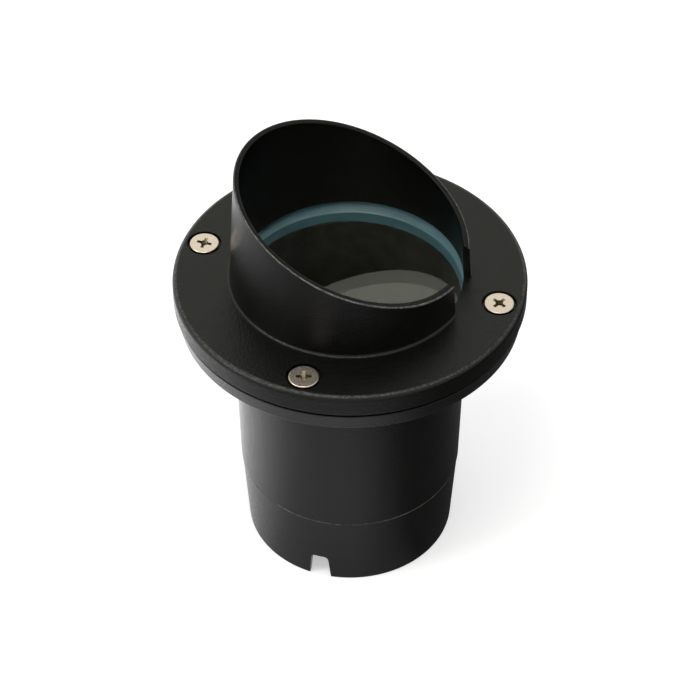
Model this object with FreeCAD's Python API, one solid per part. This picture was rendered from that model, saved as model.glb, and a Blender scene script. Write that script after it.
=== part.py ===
import FreeCAD, Part
import math
import os

# In ground well light. Millimetres. Origin: centre of the bottom rim. +Z up, along the pot's axis.
# The glare hood's low side, with its drain slot, faces +X. The cable leaves towards -Y.

V = FreeCAD.Vector
AXIS_X = V(1, 0, 0)
AXIS_Y = V(0, 1, 0)
AXIS_Z = V(0, 0, 1)
CENTRE = V(0, 0, 0)

# Driving dimensions: the casting
FLANGE_R = 60.0
COVER_TOP_Z = 114.5
COVER_UNDERSIDE_Z = 106.2
COVER_EDGE_R = 1.7
FLANGE_TOP_Z = 105.5
FLANGE_UNDERSIDE_Z = 99.3
FLANGE_TOP_R = 59.5
FLANGE_UNDERSIDE_R = 58.4
FLANGE_FILLET_R = 2.5
CASTING_EDGE_R = 0.5
POT_TOP_R = 40.4
POT_STEP_R = 38.9
POT_GROOVE_R = 38.25
POT_GROOVE_Z = 30.6
POT_GROOVE_WIDTH = 0.9
SKIRT_TOP_R = 38.65
SKIRT_BOTTOM_R = 36.8
BORE_TOP_R = 37.8
BORE_FLOOR_R = 35.2
FLOOR_Z = 16.0
FLOOR_THICKNESS = 3.0
FLOOR_FILLET_R = 2.0
SKIRT_BORE_TOP_R = 34.6
SKIRT_BORE_BOTTOM_R = 34.9
NOTCH_BOTTOM_WIDTH = 8.0
NOTCH_TOP_WIDTH = 6.0
NOTCH_HEIGHT = 10.8
NOTCH_CORNER_R = 1.6

# Glare hood: a thin cone cut by a slanting plane
HOOD_BASE_R = 40.7
HOOD_DRAFT = 0.0587
HOOD_BORE_R = 38.4
HOOD_BORE_DRAFT = 0.0472
HOOD_CUT_Z = 142.7
HOOD_CUT_SLOPE = 0.402
HOOD_BLANK_TOP_Z = 162.0
HOOD_RIM_ROUND = 0.5
HOOD_BASE_FILLET_R = 1.0
DRAIN_SLOT_WIDTH = 19.6

# Glass and its gasket
GLASS_R = 44.0
GLASS_TOP_Z = 112.6
GLASS_THICKNESS = 6.0
GLASS_EDGE = 0.5
GASKET_R = 46.0
GASKET_BORE_R = 37.8
GASKET_LIP_R = 38.3
GASKET_LIP_Z = 105.0
GASKET_SEAT_R = 41.8
GASKET_BOTTOM_Z = 101.2
GASKET_EDGE_R = 0.5
GASKET_RECESS_R = 46.2

# Cover screws, M5 countersunk: each head stands in a pocket, on a countersink in the pocket's floor
COVER_SCREW_CIRCLE_R = 52.0
COVER_SCREW_COUNT = 4
COVER_SCREW_HEAD_R = 4.95
COVER_SCREW_HEAD_EDGE = 0.3
COVER_SCREW_R = 2.5
COVER_SCREW_LENGTH = 14.1
COVER_SCREW_TIP_R = 0.5
COVER_SCREW_RISE = 0.1
COVER_SCREW_HOLE_R = 2.75
COVER_RECESS_REACH = 2.45
COVER_RECESS_DEPTH = 2.2
SCREW_POCKET_R = 5.9
SCREW_POCKET_DEPTH = 1.4
SEAT_CLEARANCE = 0.01
THREAD_CLEARANCE = 0.05

# Lamp: two-inch reflector lamp, rim up
LAMP_RIM_TOP_Z = 71.0
LAMP_RIM_HEIGHT = 2.8
LAMP_RIM_R = 25.3
LAMP_RIM_BORE_R = 23.95
LAMP_DISH_TOP_R = 23.6
LAMP_DISH_BORE_TOP_R = 22.6
LAMP_GLASS_SEAT = 2.0
LAMP_GLASS_GAP = 0.05
LAMP_DISH_WAIST_R = 17.9
LAMP_DISH_WAIST_DROP = 13.6
LAMP_DISH_BORE_WAIST_R = 16.4
LAMP_DISH_BORE_WAIST_DROP = 12.6
LAMP_THROAT_R = 7.0
LAMP_THROAT_BORE_R = 5.2
LAMP_THROAT_RISE = 12.0
LAMP_THROAT_LENGTH = 2.0
LAMP_BASE_Z = 34.0
LAMP_NECK_WIDTH = 15.0
LAMP_NECK_DEPTH = 10.4
LAMP_NECK_HEIGHT = 13.0
LAMP_NECK_CORNER_R = 1.5
BURNER_R = 4.2
BURNER_DOME_R = 3.6
BURNER_FOOT_Z = 42.5
BURNER_LENGTH = 16.0
BURNER_CLEARANCE = 0.5
LAMP_PIN_R = 0.78
LAMP_PIN_SPACING = 5.33
LAMP_PIN_XS = (-LAMP_PIN_SPACING / 2, LAMP_PIN_SPACING / 2)
LAMP_PIN_LENGTH = 7.0
LAMP_PIN_ROOT = 3.0

# Lamp's ring, its pivots and the socket
TILT_AXIS_Z = 62.0
TILT_SCREW_R = 2.0
TILT_HEAD_R = 3.8
TILT_HEAD_HEIGHT = 2.4
TILT_HEAD_ROUND = 1.4
TILT_RECESS_REACH = 2.2
TILT_RECESS_DEPTH = 1.5
TILT_WASHER_R = 3.9
TILT_WASHER_THICKNESS = 0.5
TILT_GAP = 0.1
RING_R = 27.2
RING_BORE_R = 25.8
RING_LEDGE_R = 24.0
RING_LEDGE_THICKNESS = 1.2
RING_DROP = 4.5
RING_RISE = 2.0
RING_EDGE_R = 0.3
BOSS_R = 4.2
BOSS_ROOT = 0.4
BOSS_END_Y = 29.4
CLIP_WIRE_R = 0.6
CLIP_CLEARANCE = 0.05
CLIP_SWEEP = 315.0
SOCKET_WIDTH = 17.0
SOCKET_DEPTH_Y = 11.0
SOCKET_HEIGHT = 10.0
SOCKET_CORNER_R = 1.2
SOCKET_PIN_CLEARANCE = 0.07

# Swivel: bracket strip on a hollow threaded nipple
NIPPLE_R = 4.0
NIPPLE_BORE_R = 2.8
NIPPLE_TOP_Z = 21.6
NIPPLE_BOTTOM_Z = 8.5
NIPPLE_EDGE_R = 0.3
STRIP_THICKNESS = 1.5
STRIP_WIDTH = 14.0
STRIP_UNDERSIDE_Z = 16.6
STRIP_BEND_R = 2.0
ARM_OUTER_Y = 31.5
RUNNING_CLEARANCE = 0.05
SPACER_R = 8.0
WASHER_R = 7.2
WASHER_THICKNESS = 0.8
NUT_ACROSS_FLATS = 12.0
NUT_HEIGHT = 2.4

# Terminal block and the leads that arch over to it
BLOCK_WIDTH = 16.0
BLOCK_DEPTH = 12.0
BLOCK_Y = -22.0
BLOCK_TOP_Z = 30.0
BLOCK_CORNER_R = 1.0
BLOCK_ENTRY_Y = 3.4
BLOCK_ENTRY_DEPTH = 5.0
BLOCK_POCKET_R = 2.9
BLOCK_POCKET_DEPTH = 3.0
BLOCK_SCREW_R = 1.5
BLOCK_SCREW_HEAD_R = 2.75
BLOCK_SCREW_HEAD_HEIGHT = 2.0
BLOCK_RECESS_REACH = 1.7
BLOCK_RECESS_DEPTH = 1.2
LEAD_R = 0.9
LEAD_X = 3.4
LEAD_EXIT_Z = 27.5
LEAD_EXIT_DEPTH = 2.0
LEAD_RUN_OUT = 1.0
LEAD_END_GAP = 1.0
LEAD_BEND_R = 4.0
LEAD_ARCH_Z = 36.0

# Cable elbow in the skirt
SEAL_BORE_R = 3.1
SEAL_R = 4.2
SEAL_TIP_R = 3.7
SEAL_SHOULDER = 2.2
SEAL_REACH = 4.0
SEAL_SEAT_DEPTH = 5.0
ELBOW_PASSAGE_R = 3.4
ELBOW_R = 5.0
ELBOW_NECK_R = 5.8
ELBOW_AXIS_Z = 6.4
ELBOW_LEG_LENGTH = 20.0
ELBOW_FLANGE_R = 10.0
ELBOW_FLANGE_THICKNESS = 2.0
ELBOW_EDGE_R = 0.3
ELBOW_SEAL_R = 9.5
ELBOW_SEAL_THICKNESS = 1.0
CLAMP_ACROSS_FLATS = 11.4
CLAMP_GRIP_START = 4.5
CLAMP_GRIP_END = 1.5
CLAMP_THREAD_END = 0.5
CLAMP_DOME_R = 5.5
CLAMP_DOME_ROUND = 2.0
CLAMP_DOME_END = 6.0
CLAMP_MOUTH_R = 3.4
CLAMP_CLEARANCE = 0.05

# How far a cutter runs past the face that it opens
PAST = 1.0


def upright(u, v):
    """Places a sketch point in the XZ plane, where turned profiles are drawn."""
    return V(u, 0, v)


def rounded_wire(corners, place=upright):
    """Closed outline through (u, v, radius) corners: straight sides and tangent corner arcs."""
    points = [place(u, v) for u, v, _ in corners]
    arcs = []
    for index, here in enumerate(points):
        radius = corners[index][2]
        back = (points[index - 1] - here).normalize()
        ahead = (points[(index + 1) % len(points)] - here).normalize()
        if radius == 0:
            arcs.append((here, None, here))
            continue
        half_angle = back.getAngle(ahead) / 2
        reach = radius / math.tan(half_angle)
        inward = (back + ahead).normalize()
        middle = here + inward * (radius / math.sin(half_angle) - radius)
        arcs.append((here + back * reach, middle, here + ahead * reach))
    edges = []
    for index, (start, middle, end) in enumerate(arcs):
        if middle is not None:
            edges.append(Part.Arc(start, middle, end).toShape())
        following = arcs[(index + 1) % len(arcs)][0]
        edges.append(Part.makeLine(end, following))
    return Part.Wire(edges)


def turned(corners):
    """Solid of revolution about Z from an outline of (radius, z, corner radius)."""
    return Part.Face(rounded_wire(corners)).revolve(CENTRE, AXIS_Z, 360)


def tube(outer_r, bore_r, low_z, high_z, edge=0.0):
    """Plain ring or sleeve on the Z axis, its four edges rounded by edge."""
    return turned([
        (bore_r, low_z, edge),
        (outer_r, low_z, edge),
        (outer_r, high_z, edge),
        (bore_r, high_z, edge),
    ])


def rod(radius, low_z, high_z, x=0.0, y=0.0):
    """Plain cylinder standing at (x, y)."""
    return Part.makeCylinder(radius, high_z - low_z, V(x, y, low_z), AXIS_Z)


def hexagon(across_flats, bore_r, low_z, high_z):
    """Hexagon nut on the Z axis, with the corners turned off at both ends."""
    corner_r = across_flats / math.sqrt(3)
    chamfer = corner_r - across_flats / 2
    turns = [math.radians(60 * k) for k in range(7)]
    corners = [V(corner_r * math.cos(turn), corner_r * math.sin(turn), low_z) for turn in turns]
    prism = Part.Face(Part.makePolygon(corners)).extrude(V(0, 0, high_z - low_z))
    envelope = turned([
        (bore_r, low_z, 0),
        (corner_r - chamfer, low_z, 0),
        (corner_r, low_z + chamfer / 2, 0),
        (corner_r, high_z - chamfer / 2, 0),
        (corner_r - chamfer, high_z, 0),
        (bore_r, high_z, 0),
    ])
    return prism.common(envelope)


def block(width_x, width_y, low_z, high_z, corner_r, x=0.0, y=0.0):
    """Rectangular block standing at (x, y) with rounded upright edges."""
    half_x, half_y = width_x / 2, width_y / 2
    outline = rounded_wire(
        [(x - half_x, y - half_y, corner_r), (x + half_x, y - half_y, corner_r),
         (x + half_x, y + half_y, corner_r), (x - half_x, y + half_y, corner_r)],
        lambda u, v: V(u, v, low_z))
    return Part.Face(outline).extrude(V(0, 0, high_z - low_z))


def around(shape, count):
    """Copies of a shape, evenly spaced about Z."""
    return [shape.rotated(CENTRE, AXIS_Z, 360.0 * k / count) for k in range(count)]


def cross_recess(top_z, reach, depth):
    """Cutter for a cross-recess drive: two tapering blades, in proportion to their reach."""
    width = root = reach * 0.4
    blade = Part.Face(rounded_wire(
        [(-reach, top_z, 0), (-root, top_z - depth, 0), (root, top_z - depth, 0), (reach, top_z, 0)],
        lambda u, v: V(u, -width / 2, v))).extrude(V(0, width, 0))
    return blade.fuse(blade.rotated(CENTRE, AXIS_Z, 90))


# ---------------------------------------------------------------- casting

def hood_cover():
    """Face ring and angled hood, one casting, with a drain slot in the hood's low side."""
    hood_rise = HOOD_BLANK_TOP_Z - COVER_TOP_Z
    bore_rise = HOOD_BLANK_TOP_Z - GLASS_TOP_Z
    casting = turned([
        (HOOD_BORE_R, GLASS_TOP_Z, CASTING_EDGE_R),
        (GASKET_RECESS_R, GLASS_TOP_Z, 0),
        (GASKET_RECESS_R, COVER_UNDERSIDE_Z, CASTING_EDGE_R),
        (FLANGE_R, COVER_UNDERSIDE_Z, CASTING_EDGE_R),
        (FLANGE_R, COVER_TOP_Z, COVER_EDGE_R),
        (HOOD_BASE_R, COVER_TOP_Z, HOOD_BASE_FILLET_R),
        (HOOD_BASE_R - HOOD_DRAFT * hood_rise, HOOD_BLANK_TOP_Z, 0),
        (HOOD_BORE_R - HOOD_BORE_DRAFT * bore_rise, HOOD_BLANK_TOP_Z, 0),
    ])
    casting = casting.cut(above_hood_cut())
    rim = [edge for edge in casting.Edges if lies_on_hood_cut(edge)]
    casting = casting.makeFillet(HOOD_RIM_ROUND, rim)
    slot = Part.makeBox(FLANGE_R, DRAIN_SLOT_WIDTH, hood_rise, V(0, -DRAIN_SLOT_WIDTH / 2, COVER_TOP_Z))
    pocket_z = COVER_TOP_Z - SCREW_POCKET_DEPTH
    head_edge_z = COVER_TOP_Z + COVER_SCREW_RISE - COVER_SCREW_HEAD_EDGE
    seat_r = COVER_SCREW_HEAD_R - (head_edge_z - pocket_z) + SEAT_CLEARANCE
    seat = turned([
        (0, COVER_UNDERSIDE_Z - PAST, 0),
        (COVER_SCREW_HOLE_R, COVER_UNDERSIDE_Z - PAST, 0),
        (COVER_SCREW_HOLE_R, pocket_z - seat_r + COVER_SCREW_HOLE_R, 0),
        (seat_r, pocket_z, 0),
        (SCREW_POCKET_R, pocket_z, 0),
        (SCREW_POCKET_R, COVER_TOP_Z + PAST, 0),
        (0, COVER_TOP_Z + PAST, 0),
    ]).translated(V(COVER_SCREW_CIRCLE_R, 0, 0))
    return casting.cut([slot] + around(seat, COVER_SCREW_COUNT))


def above_hood_cut():
    """Everything above the hood's slanting rim plane."""
    half = 2 * HOOD_BASE_R
    blank = Part.makeBox(2 * half, 2 * half, half, V(-half, -half, 0))
    tilt = math.degrees(math.atan(HOOD_CUT_SLOPE))
    return blank.rotated(CENTRE, AXIS_Y, tilt).translated(V(0, 0, HOOD_CUT_Z))


def lies_on_hood_cut(edge):
    """True for an edge that lies all along in the rim plane."""
    samples = edge.discretize(5)
    return all(abs(p.z - HOOD_CUT_Z + HOOD_CUT_SLOPE * p.x) < 0.001 for p in samples)


def housing_body():
    """Pot with flange, sealed floor, a groove round its foot, open skirt and a cable notch in the rim."""
    casting = turned([
        (SKIRT_BORE_BOTTOM_R, 0, CASTING_EDGE_R),
        (SKIRT_BOTTOM_R, 0, CASTING_EDGE_R),
        (SKIRT_TOP_R, POT_GROOVE_Z - POT_GROOVE_WIDTH / 2, 0),
        (POT_GROOVE_R, POT_GROOVE_Z, 0),
        (POT_STEP_R, POT_GROOVE_Z + POT_GROOVE_WIDTH / 2, 0),
        (POT_TOP_R, FLANGE_UNDERSIDE_Z, FLANGE_FILLET_R),
        (FLANGE_UNDERSIDE_R, FLANGE_UNDERSIDE_Z, CASTING_EDGE_R),
        (FLANGE_TOP_R, FLANGE_TOP_Z, CASTING_EDGE_R),
        (GASKET_RECESS_R, FLANGE_TOP_Z, CASTING_EDGE_R),
        (GASKET_RECESS_R, GASKET_BOTTOM_Z, 0),
        (BORE_TOP_R, GASKET_BOTTOM_Z, CASTING_EDGE_R),
        (BORE_FLOOR_R, FLOOR_Z, FLOOR_FILLET_R),
        (NIPPLE_R, FLOOR_Z, 0),
        (NIPPLE_R, FLOOR_Z - FLOOR_THICKNESS, 0),
        (SKIRT_BORE_TOP_R, FLOOR_Z - FLOOR_THICKNESS, FLOOR_FILLET_R),
    ])
    screw_hole = rod(COVER_SCREW_R + THREAD_CLEARANCE, FLANGE_UNDERSIDE_Z - PAST, FLANGE_TOP_Z + PAST,
                     COVER_SCREW_CIRCLE_R)
    half_width, half_top = NOTCH_BOTTOM_WIDTH / 2, NOTCH_TOP_WIDTH / 2
    notch_outline = rounded_wire(
        [(-half_width, 0, 0), (half_width, 0, 0),
         (half_top, NOTCH_HEIGHT, NOTCH_CORNER_R), (-half_top, NOTCH_HEIGHT, NOTCH_CORNER_R)],
        lambda u, v: V(u, -POT_TOP_R, v))
    notch = Part.Face(notch_outline).extrude(V(0, POT_TOP_R / 2, 0))
    return casting.cut(around(screw_hole, COVER_SCREW_COUNT) + [notch])


def cover_screws():
    """Four countersunk screws with a cross recess."""
    top_z = COVER_TOP_Z + COVER_SCREW_RISE
    head_edge_z = top_z - COVER_SCREW_HEAD_EDGE
    cone_height = COVER_SCREW_HEAD_R - COVER_SCREW_R
    screw = turned([
        (0, top_z, 0),
        (COVER_SCREW_HEAD_R, top_z, COVER_SCREW_HEAD_EDGE / 2),
        (COVER_SCREW_HEAD_R, head_edge_z, 0),
        (COVER_SCREW_R, head_edge_z - cone_height, 0),
        (COVER_SCREW_R, top_z - COVER_SCREW_LENGTH, COVER_SCREW_TIP_R),
        (0, top_z - COVER_SCREW_LENGTH, 0),
    ])
    screw = screw.cut(cross_recess(top_z, COVER_RECESS_REACH, COVER_RECESS_DEPTH))
    return Part.makeCompound(around(screw.translated(V(COVER_SCREW_CIRCLE_R, 0, 0)), COVER_SCREW_COUNT))


# ---------------------------------------------------------------- glass and gasket

def lens_gasket():
    """Silicone ring of L section: a seat with a sloping inner edge under the glass, and a wall round it."""
    glass_bottom_z = GLASS_TOP_Z - GLASS_THICKNESS
    return turned([
        (GASKET_BORE_R, GASKET_BOTTOM_Z, GASKET_EDGE_R),
        (GASKET_R, GASKET_BOTTOM_Z, GASKET_EDGE_R),
        (GASKET_R, GLASS_TOP_Z, GASKET_EDGE_R),
        (GLASS_R, GLASS_TOP_Z, 0),
        (GLASS_R, glass_bottom_z, 0),
        (GASKET_SEAT_R, glass_bottom_z, 0),
        (GASKET_LIP_R, GASKET_LIP_Z, GASKET_EDGE_R),
    ])


def lens_glass():
    """Flat toughened lens with ground edges."""
    bottom_z = GLASS_TOP_Z - GLASS_THICKNESS
    return turned([
        (0, bottom_z, 0),
        (GLASS_R - GLASS_EDGE, bottom_z, 0),
        (GLASS_R, bottom_z + GLASS_EDGE, 0),
        (GLASS_R, GLASS_TOP_Z - GLASS_EDGE, 0),
        (GLASS_R - GLASS_EDGE, GLASS_TOP_Z, 0),
        (0, GLASS_TOP_Z, 0),
    ])


# ---------------------------------------------------------------- cable entry

def lying_towards_cable(shape):
    """Lays a shape built up the Z axis along the elbow's leg, its top towards -Y."""
    return shape.rotated(CENTRE, AXIS_X, 90).translated(V(0, 0, ELBOW_AXIS_Z))


def cable_elbow():
    """Moulded elbow under the floor: flange, ball corner, threaded leg and a seat for the seal."""
    flange_top_z = FLOOR_Z - FLOOR_THICKNESS - ELBOW_SEAL_THICKNESS
    flange_low_z = flange_top_z - ELBOW_FLANGE_THICKNESS
    flange = tube(ELBOW_FLANGE_R, NIPPLE_R, flange_low_z, flange_top_z, ELBOW_EDGE_R)
    neck = rod(ELBOW_NECK_R, ELBOW_AXIS_Z, flange_top_z - ELBOW_FLANGE_THICKNESS / 2)
    ball = Part.makeSphere(ELBOW_R, V(0, 0, ELBOW_AXIS_Z))
    leg = lying_towards_cable(rod(ELBOW_R, 0, ELBOW_LEG_LENGTH))
    passage = lying_towards_cable(rod(ELBOW_PASSAGE_R, 0, ELBOW_LEG_LENGTH + PAST))
    riser = rod(NIPPLE_BORE_R, ELBOW_AXIS_Z, flange_top_z + PAST)
    socket = rod(NIPPLE_R, NIPPLE_BOTTOM_Z, flange_top_z + PAST)
    inner_ball = Part.makeSphere(ELBOW_PASSAGE_R, V(0, 0, ELBOW_AXIS_Z))
    seat_start = ELBOW_LEG_LENGTH - SEAL_SEAT_DEPTH
    seal_seat = lying_towards_cable(rod(SEAL_R, seat_start, ELBOW_LEG_LENGTH + PAST))
    body = flange.fuse([neck, ball, leg]).removeSplitter()
    return body.cut([passage, riser, socket, inner_ball, seal_seat])


def cable_seal():
    """Rubber sleeve, bored for the cable, that the clamp nut squeezes."""
    sleeve = turned([
        (SEAL_BORE_R, ELBOW_LEG_LENGTH - SEAL_SEAT_DEPTH, 0),
        (SEAL_R, ELBOW_LEG_LENGTH - SEAL_SEAT_DEPTH, 0),
        (SEAL_R, ELBOW_LEG_LENGTH + SEAL_SHOULDER, 0),
        (SEAL_TIP_R, ELBOW_LEG_LENGTH + SEAL_REACH, 0),
        (SEAL_BORE_R, ELBOW_LEG_LENGTH + SEAL_REACH, 0),
    ])
    return lying_towards_cable(sleeve)


def clamp_nut():
    """Domed hexagon nut over the elbow's leg, its mouth open for the cable."""
    thread_end = ELBOW_LEG_LENGTH + CLAMP_THREAD_END
    grip_end = ELBOW_LEG_LENGTH + CLAMP_GRIP_END
    dome_end = ELBOW_LEG_LENGTH + CLAMP_DOME_END
    cavity = turned([
        (0, ELBOW_LEG_LENGTH - CLAMP_GRIP_START - PAST, 0),
        (ELBOW_R, ELBOW_LEG_LENGTH - CLAMP_GRIP_START - PAST, 0),
        (ELBOW_R, thread_end, 0),
        (SEAL_R + CLAMP_CLEARANCE, thread_end, 0),
        (SEAL_R + CLAMP_CLEARANCE, ELBOW_LEG_LENGTH + SEAL_SHOULDER, 0),
        (SEAL_TIP_R + CLAMP_CLEARANCE, ELBOW_LEG_LENGTH + SEAL_REACH, 0),
        (CLAMP_MOUTH_R, ELBOW_LEG_LENGTH + SEAL_REACH, 0),
        (CLAMP_MOUTH_R, dome_end + PAST, 0),
        (0, dome_end + PAST, 0),
    ])
    dome = turned([
        (0, thread_end, 0),
        (CLAMP_DOME_R, thread_end, 0),
        (CLAMP_DOME_R, dome_end, CLAMP_DOME_ROUND),
        (0, dome_end, 0),
    ])
    grip = hexagon(CLAMP_ACROSS_FLATS, 0, ELBOW_LEG_LENGTH - CLAMP_GRIP_START, grip_end)
    return lying_towards_cable(grip.fuse(dome).removeSplitter().cut(cavity))


def elbow_seal():
    """Flat rubber ring between the elbow's flange and the floor."""
    underside_z = FLOOR_Z - FLOOR_THICKNESS
    return tube(ELBOW_SEAL_R, NIPPLE_R, underside_z - ELBOW_SEAL_THICKNESS, underside_z)


def hollow_nipple():
    """Threaded tube through elbow, floor and bracket, on which the bracket turns."""
    return tube(NIPPLE_R, NIPPLE_BORE_R, NIPPLE_BOTTOM_Z, NIPPLE_TOP_Z, NIPPLE_EDGE_R)


# ---------------------------------------------------------------- swivel

def swivel_spacer():
    """Plain washer that the bracket turns on."""
    return tube(SPACER_R, NIPPLE_R, FLOOR_Z, STRIP_UNDERSIDE_Z - RUNNING_CLEARANCE)


def swivel_washer():
    """Spring washer above the bracket."""
    strip_top_z = STRIP_UNDERSIDE_Z + STRIP_THICKNESS
    return tube(WASHER_R, NIPPLE_R, strip_top_z + RUNNING_CLEARANCE, strip_top_z + WASHER_THICKNESS)


def swivel_nut():
    """Nut that sets how firmly the bracket holds its direction."""
    washer_top_z = STRIP_UNDERSIDE_Z + STRIP_THICKNESS + WASHER_THICKNESS
    return hexagon(NUT_ACROSS_FLATS, NIPPLE_R, washer_top_z, washer_top_z + NUT_HEIGHT)


def swivel_bracket():
    """Bent strip: a foot on the nipple and two arms with round ends for the tilt screws."""
    inner_y = ARM_OUTER_Y - STRIP_THICKNESS
    arm_end_z = TILT_AXIS_Z + STRIP_WIDTH / 2
    foot_top_z = STRIP_UNDERSIDE_Z + STRIP_THICKNESS
    profile = rounded_wire(
        [(-ARM_OUTER_Y, STRIP_UNDERSIDE_Z, STRIP_BEND_R + STRIP_THICKNESS),
         (ARM_OUTER_Y, STRIP_UNDERSIDE_Z, STRIP_BEND_R + STRIP_THICKNESS),
         (ARM_OUTER_Y, arm_end_z, 0), (inner_y, arm_end_z, 0),
         (inner_y, foot_top_z, STRIP_BEND_R), (-inner_y, foot_top_z, STRIP_BEND_R),
         (-inner_y, arm_end_z, 0), (-ARM_OUTER_Y, arm_end_z, 0)],
        lambda u, v: V(-STRIP_WIDTH / 2, u, v))
    strip = Part.Face(profile).extrude(V(STRIP_WIDTH, 0, 0))
    end_round = STRIP_WIDTH * 0.49
    front_outline = rounded_wire(
        [(-STRIP_WIDTH / 2, STRIP_UNDERSIDE_Z - PAST, 0), (STRIP_WIDTH / 2, STRIP_UNDERSIDE_Z - PAST, 0),
         (STRIP_WIDTH / 2, arm_end_z, end_round), (-STRIP_WIDTH / 2, arm_end_z, end_round)],
        lambda u, v: V(u, -ARM_OUTER_Y - PAST, v))
    across = 2 * (ARM_OUTER_Y + PAST)
    strip = strip.common(Part.Face(front_outline).extrude(V(0, across, 0)))
    nipple_hole = rod(NIPPLE_R + RUNNING_CLEARANCE, STRIP_UNDERSIDE_Z - PAST, foot_top_z + PAST)
    pivot_hole = Part.makeCylinder(TILT_SCREW_R + RUNNING_CLEARANCE, across,
                                   V(0, -across / 2, TILT_AXIS_Z), AXIS_Y)
    block_screw_hole = rod(BLOCK_SCREW_R, STRIP_UNDERSIDE_Z - PAST, foot_top_z + PAST, 0, BLOCK_Y)
    return strip.cut([nipple_hole, pivot_hole, block_screw_hole])


# ---------------------------------------------------------------- terminal block

def terminal_block():
    """Push-in block: four wire entries on top, two for the lamp and two for the supply."""
    foot_z = STRIP_UNDERSIDE_Z + STRIP_THICKNESS
    body = block(BLOCK_WIDTH, BLOCK_DEPTH, foot_z, BLOCK_TOP_Z, BLOCK_CORNER_R, 0, BLOCK_Y)
    entries = [rod(LEAD_R, BLOCK_TOP_Z - BLOCK_ENTRY_DEPTH, BLOCK_TOP_Z + PAST, x, y)
               for x in (-LEAD_X, LEAD_X) for y in (BLOCK_Y - BLOCK_ENTRY_Y, BLOCK_Y + BLOCK_ENTRY_Y)]
    screw_hole = rod(BLOCK_SCREW_R, foot_z - PAST, BLOCK_TOP_Z + PAST, 0, BLOCK_Y)
    screw_pocket = rod(BLOCK_POCKET_R, BLOCK_TOP_Z - BLOCK_POCKET_DEPTH, BLOCK_TOP_Z + PAST, 0, BLOCK_Y)
    return body.cut(entries + [screw_hole, screw_pocket])


def terminal_screw():
    """Cheese-head screw through the block into the bracket's foot."""
    seat_z = BLOCK_TOP_Z - BLOCK_POCKET_DEPTH
    head_z = seat_z + BLOCK_SCREW_HEAD_HEIGHT
    head = rod(BLOCK_SCREW_HEAD_R, seat_z, head_z)
    head = head.cut(cross_recess(head_z, BLOCK_RECESS_REACH, BLOCK_RECESS_DEPTH))
    shank = rod(BLOCK_SCREW_R, STRIP_UNDERSIDE_Z, seat_z)
    return head.fuse(shank).removeSplitter().translated(V(0, BLOCK_Y, 0))


# ---------------------------------------------------------------- lamp head

def facing_out(shape):
    """Lays a shape built up the Z axis along +Y on the tilt axis, and repeats it on the other side."""
    laid = shape.rotated(CENTRE, AXIS_X, -90).translated(V(0, 0, TILT_AXIS_Z))
    return around(laid, 2)


def gimbal_ring():
    """Ring with an inner ledge for the lamp's rim and two threaded bosses on the tilt axis."""
    ledge_z = LAMP_RIM_TOP_Z - LAMP_RIM_HEIGHT
    low_z = TILT_AXIS_Z - RING_DROP
    ring = turned([
        (RING_BORE_R, low_z, 0),
        (RING_R, low_z, RING_EDGE_R),
        (RING_R, LAMP_RIM_TOP_Z + RING_RISE, RING_EDGE_R),
        (RING_BORE_R, LAMP_RIM_TOP_Z + RING_RISE, RING_EDGE_R),
        (RING_BORE_R, ledge_z, 0),
        (RING_LEDGE_R, ledge_z, 0),
        (RING_LEDGE_R, ledge_z - RING_LEDGE_THICKNESS, 0),
        (RING_BORE_R, ledge_z - RING_LEDGE_THICKNESS, 0),
    ])
    bosses = facing_out(rod(BOSS_R, RING_BORE_R + BOSS_ROOT, BOSS_END_Y))
    holes = facing_out(rod(TILT_SCREW_R, RING_BORE_R - PAST, BOSS_END_Y + PAST))
    inside = rod(RING_BORE_R, low_z, ledge_z - RING_LEDGE_THICKNESS)
    return ring.fuse([boss.cut(inside) for boss in bosses]).removeSplitter().cut(holes)


def tilt_screws():
    """Two pan-head pivot screws through the bracket's arms into the ring's bosses."""
    tip_y = RING_BORE_R + TILT_GAP
    head_y = ARM_OUTER_Y + TILT_GAP
    head_end_y = head_y + TILT_HEAD_HEIGHT
    screw = turned([
        (0, tip_y, 0),
        (TILT_SCREW_R, tip_y, RING_EDGE_R),
        (TILT_SCREW_R, head_y, 0),
        (TILT_HEAD_R, head_y, 0),
        (TILT_HEAD_R, head_end_y, TILT_HEAD_ROUND),
        (0, head_end_y, 0),
    ])
    screw = screw.cut(cross_recess(head_end_y, TILT_RECESS_REACH, TILT_RECESS_DEPTH))
    return Part.makeCompound(facing_out(screw))


def tilt_washers():
    """Two spring washers between the ring's bosses and the bracket's arms."""
    washer = tube(TILT_WASHER_R, TILT_SCREW_R, BOSS_END_Y, BOSS_END_Y + TILT_WASHER_THICKNESS)
    return Part.makeCompound(facing_out(washer))


def lamp_clip():
    """Open ring of spring wire that snaps in over the lamp's rim."""
    ring_r = RING_BORE_R - CLIP_WIRE_R - CLIP_CLEARANCE
    centre = V(0, 0, LAMP_RIM_TOP_Z + CLIP_WIRE_R)
    clip = Part.makeTorus(ring_r, CLIP_WIRE_R, centre, AXIS_Z, 0, 360, CLIP_SWEEP)
    return clip.rotated(CENTRE, AXIS_Z, (360 - CLIP_SWEEP) / 2)


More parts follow.
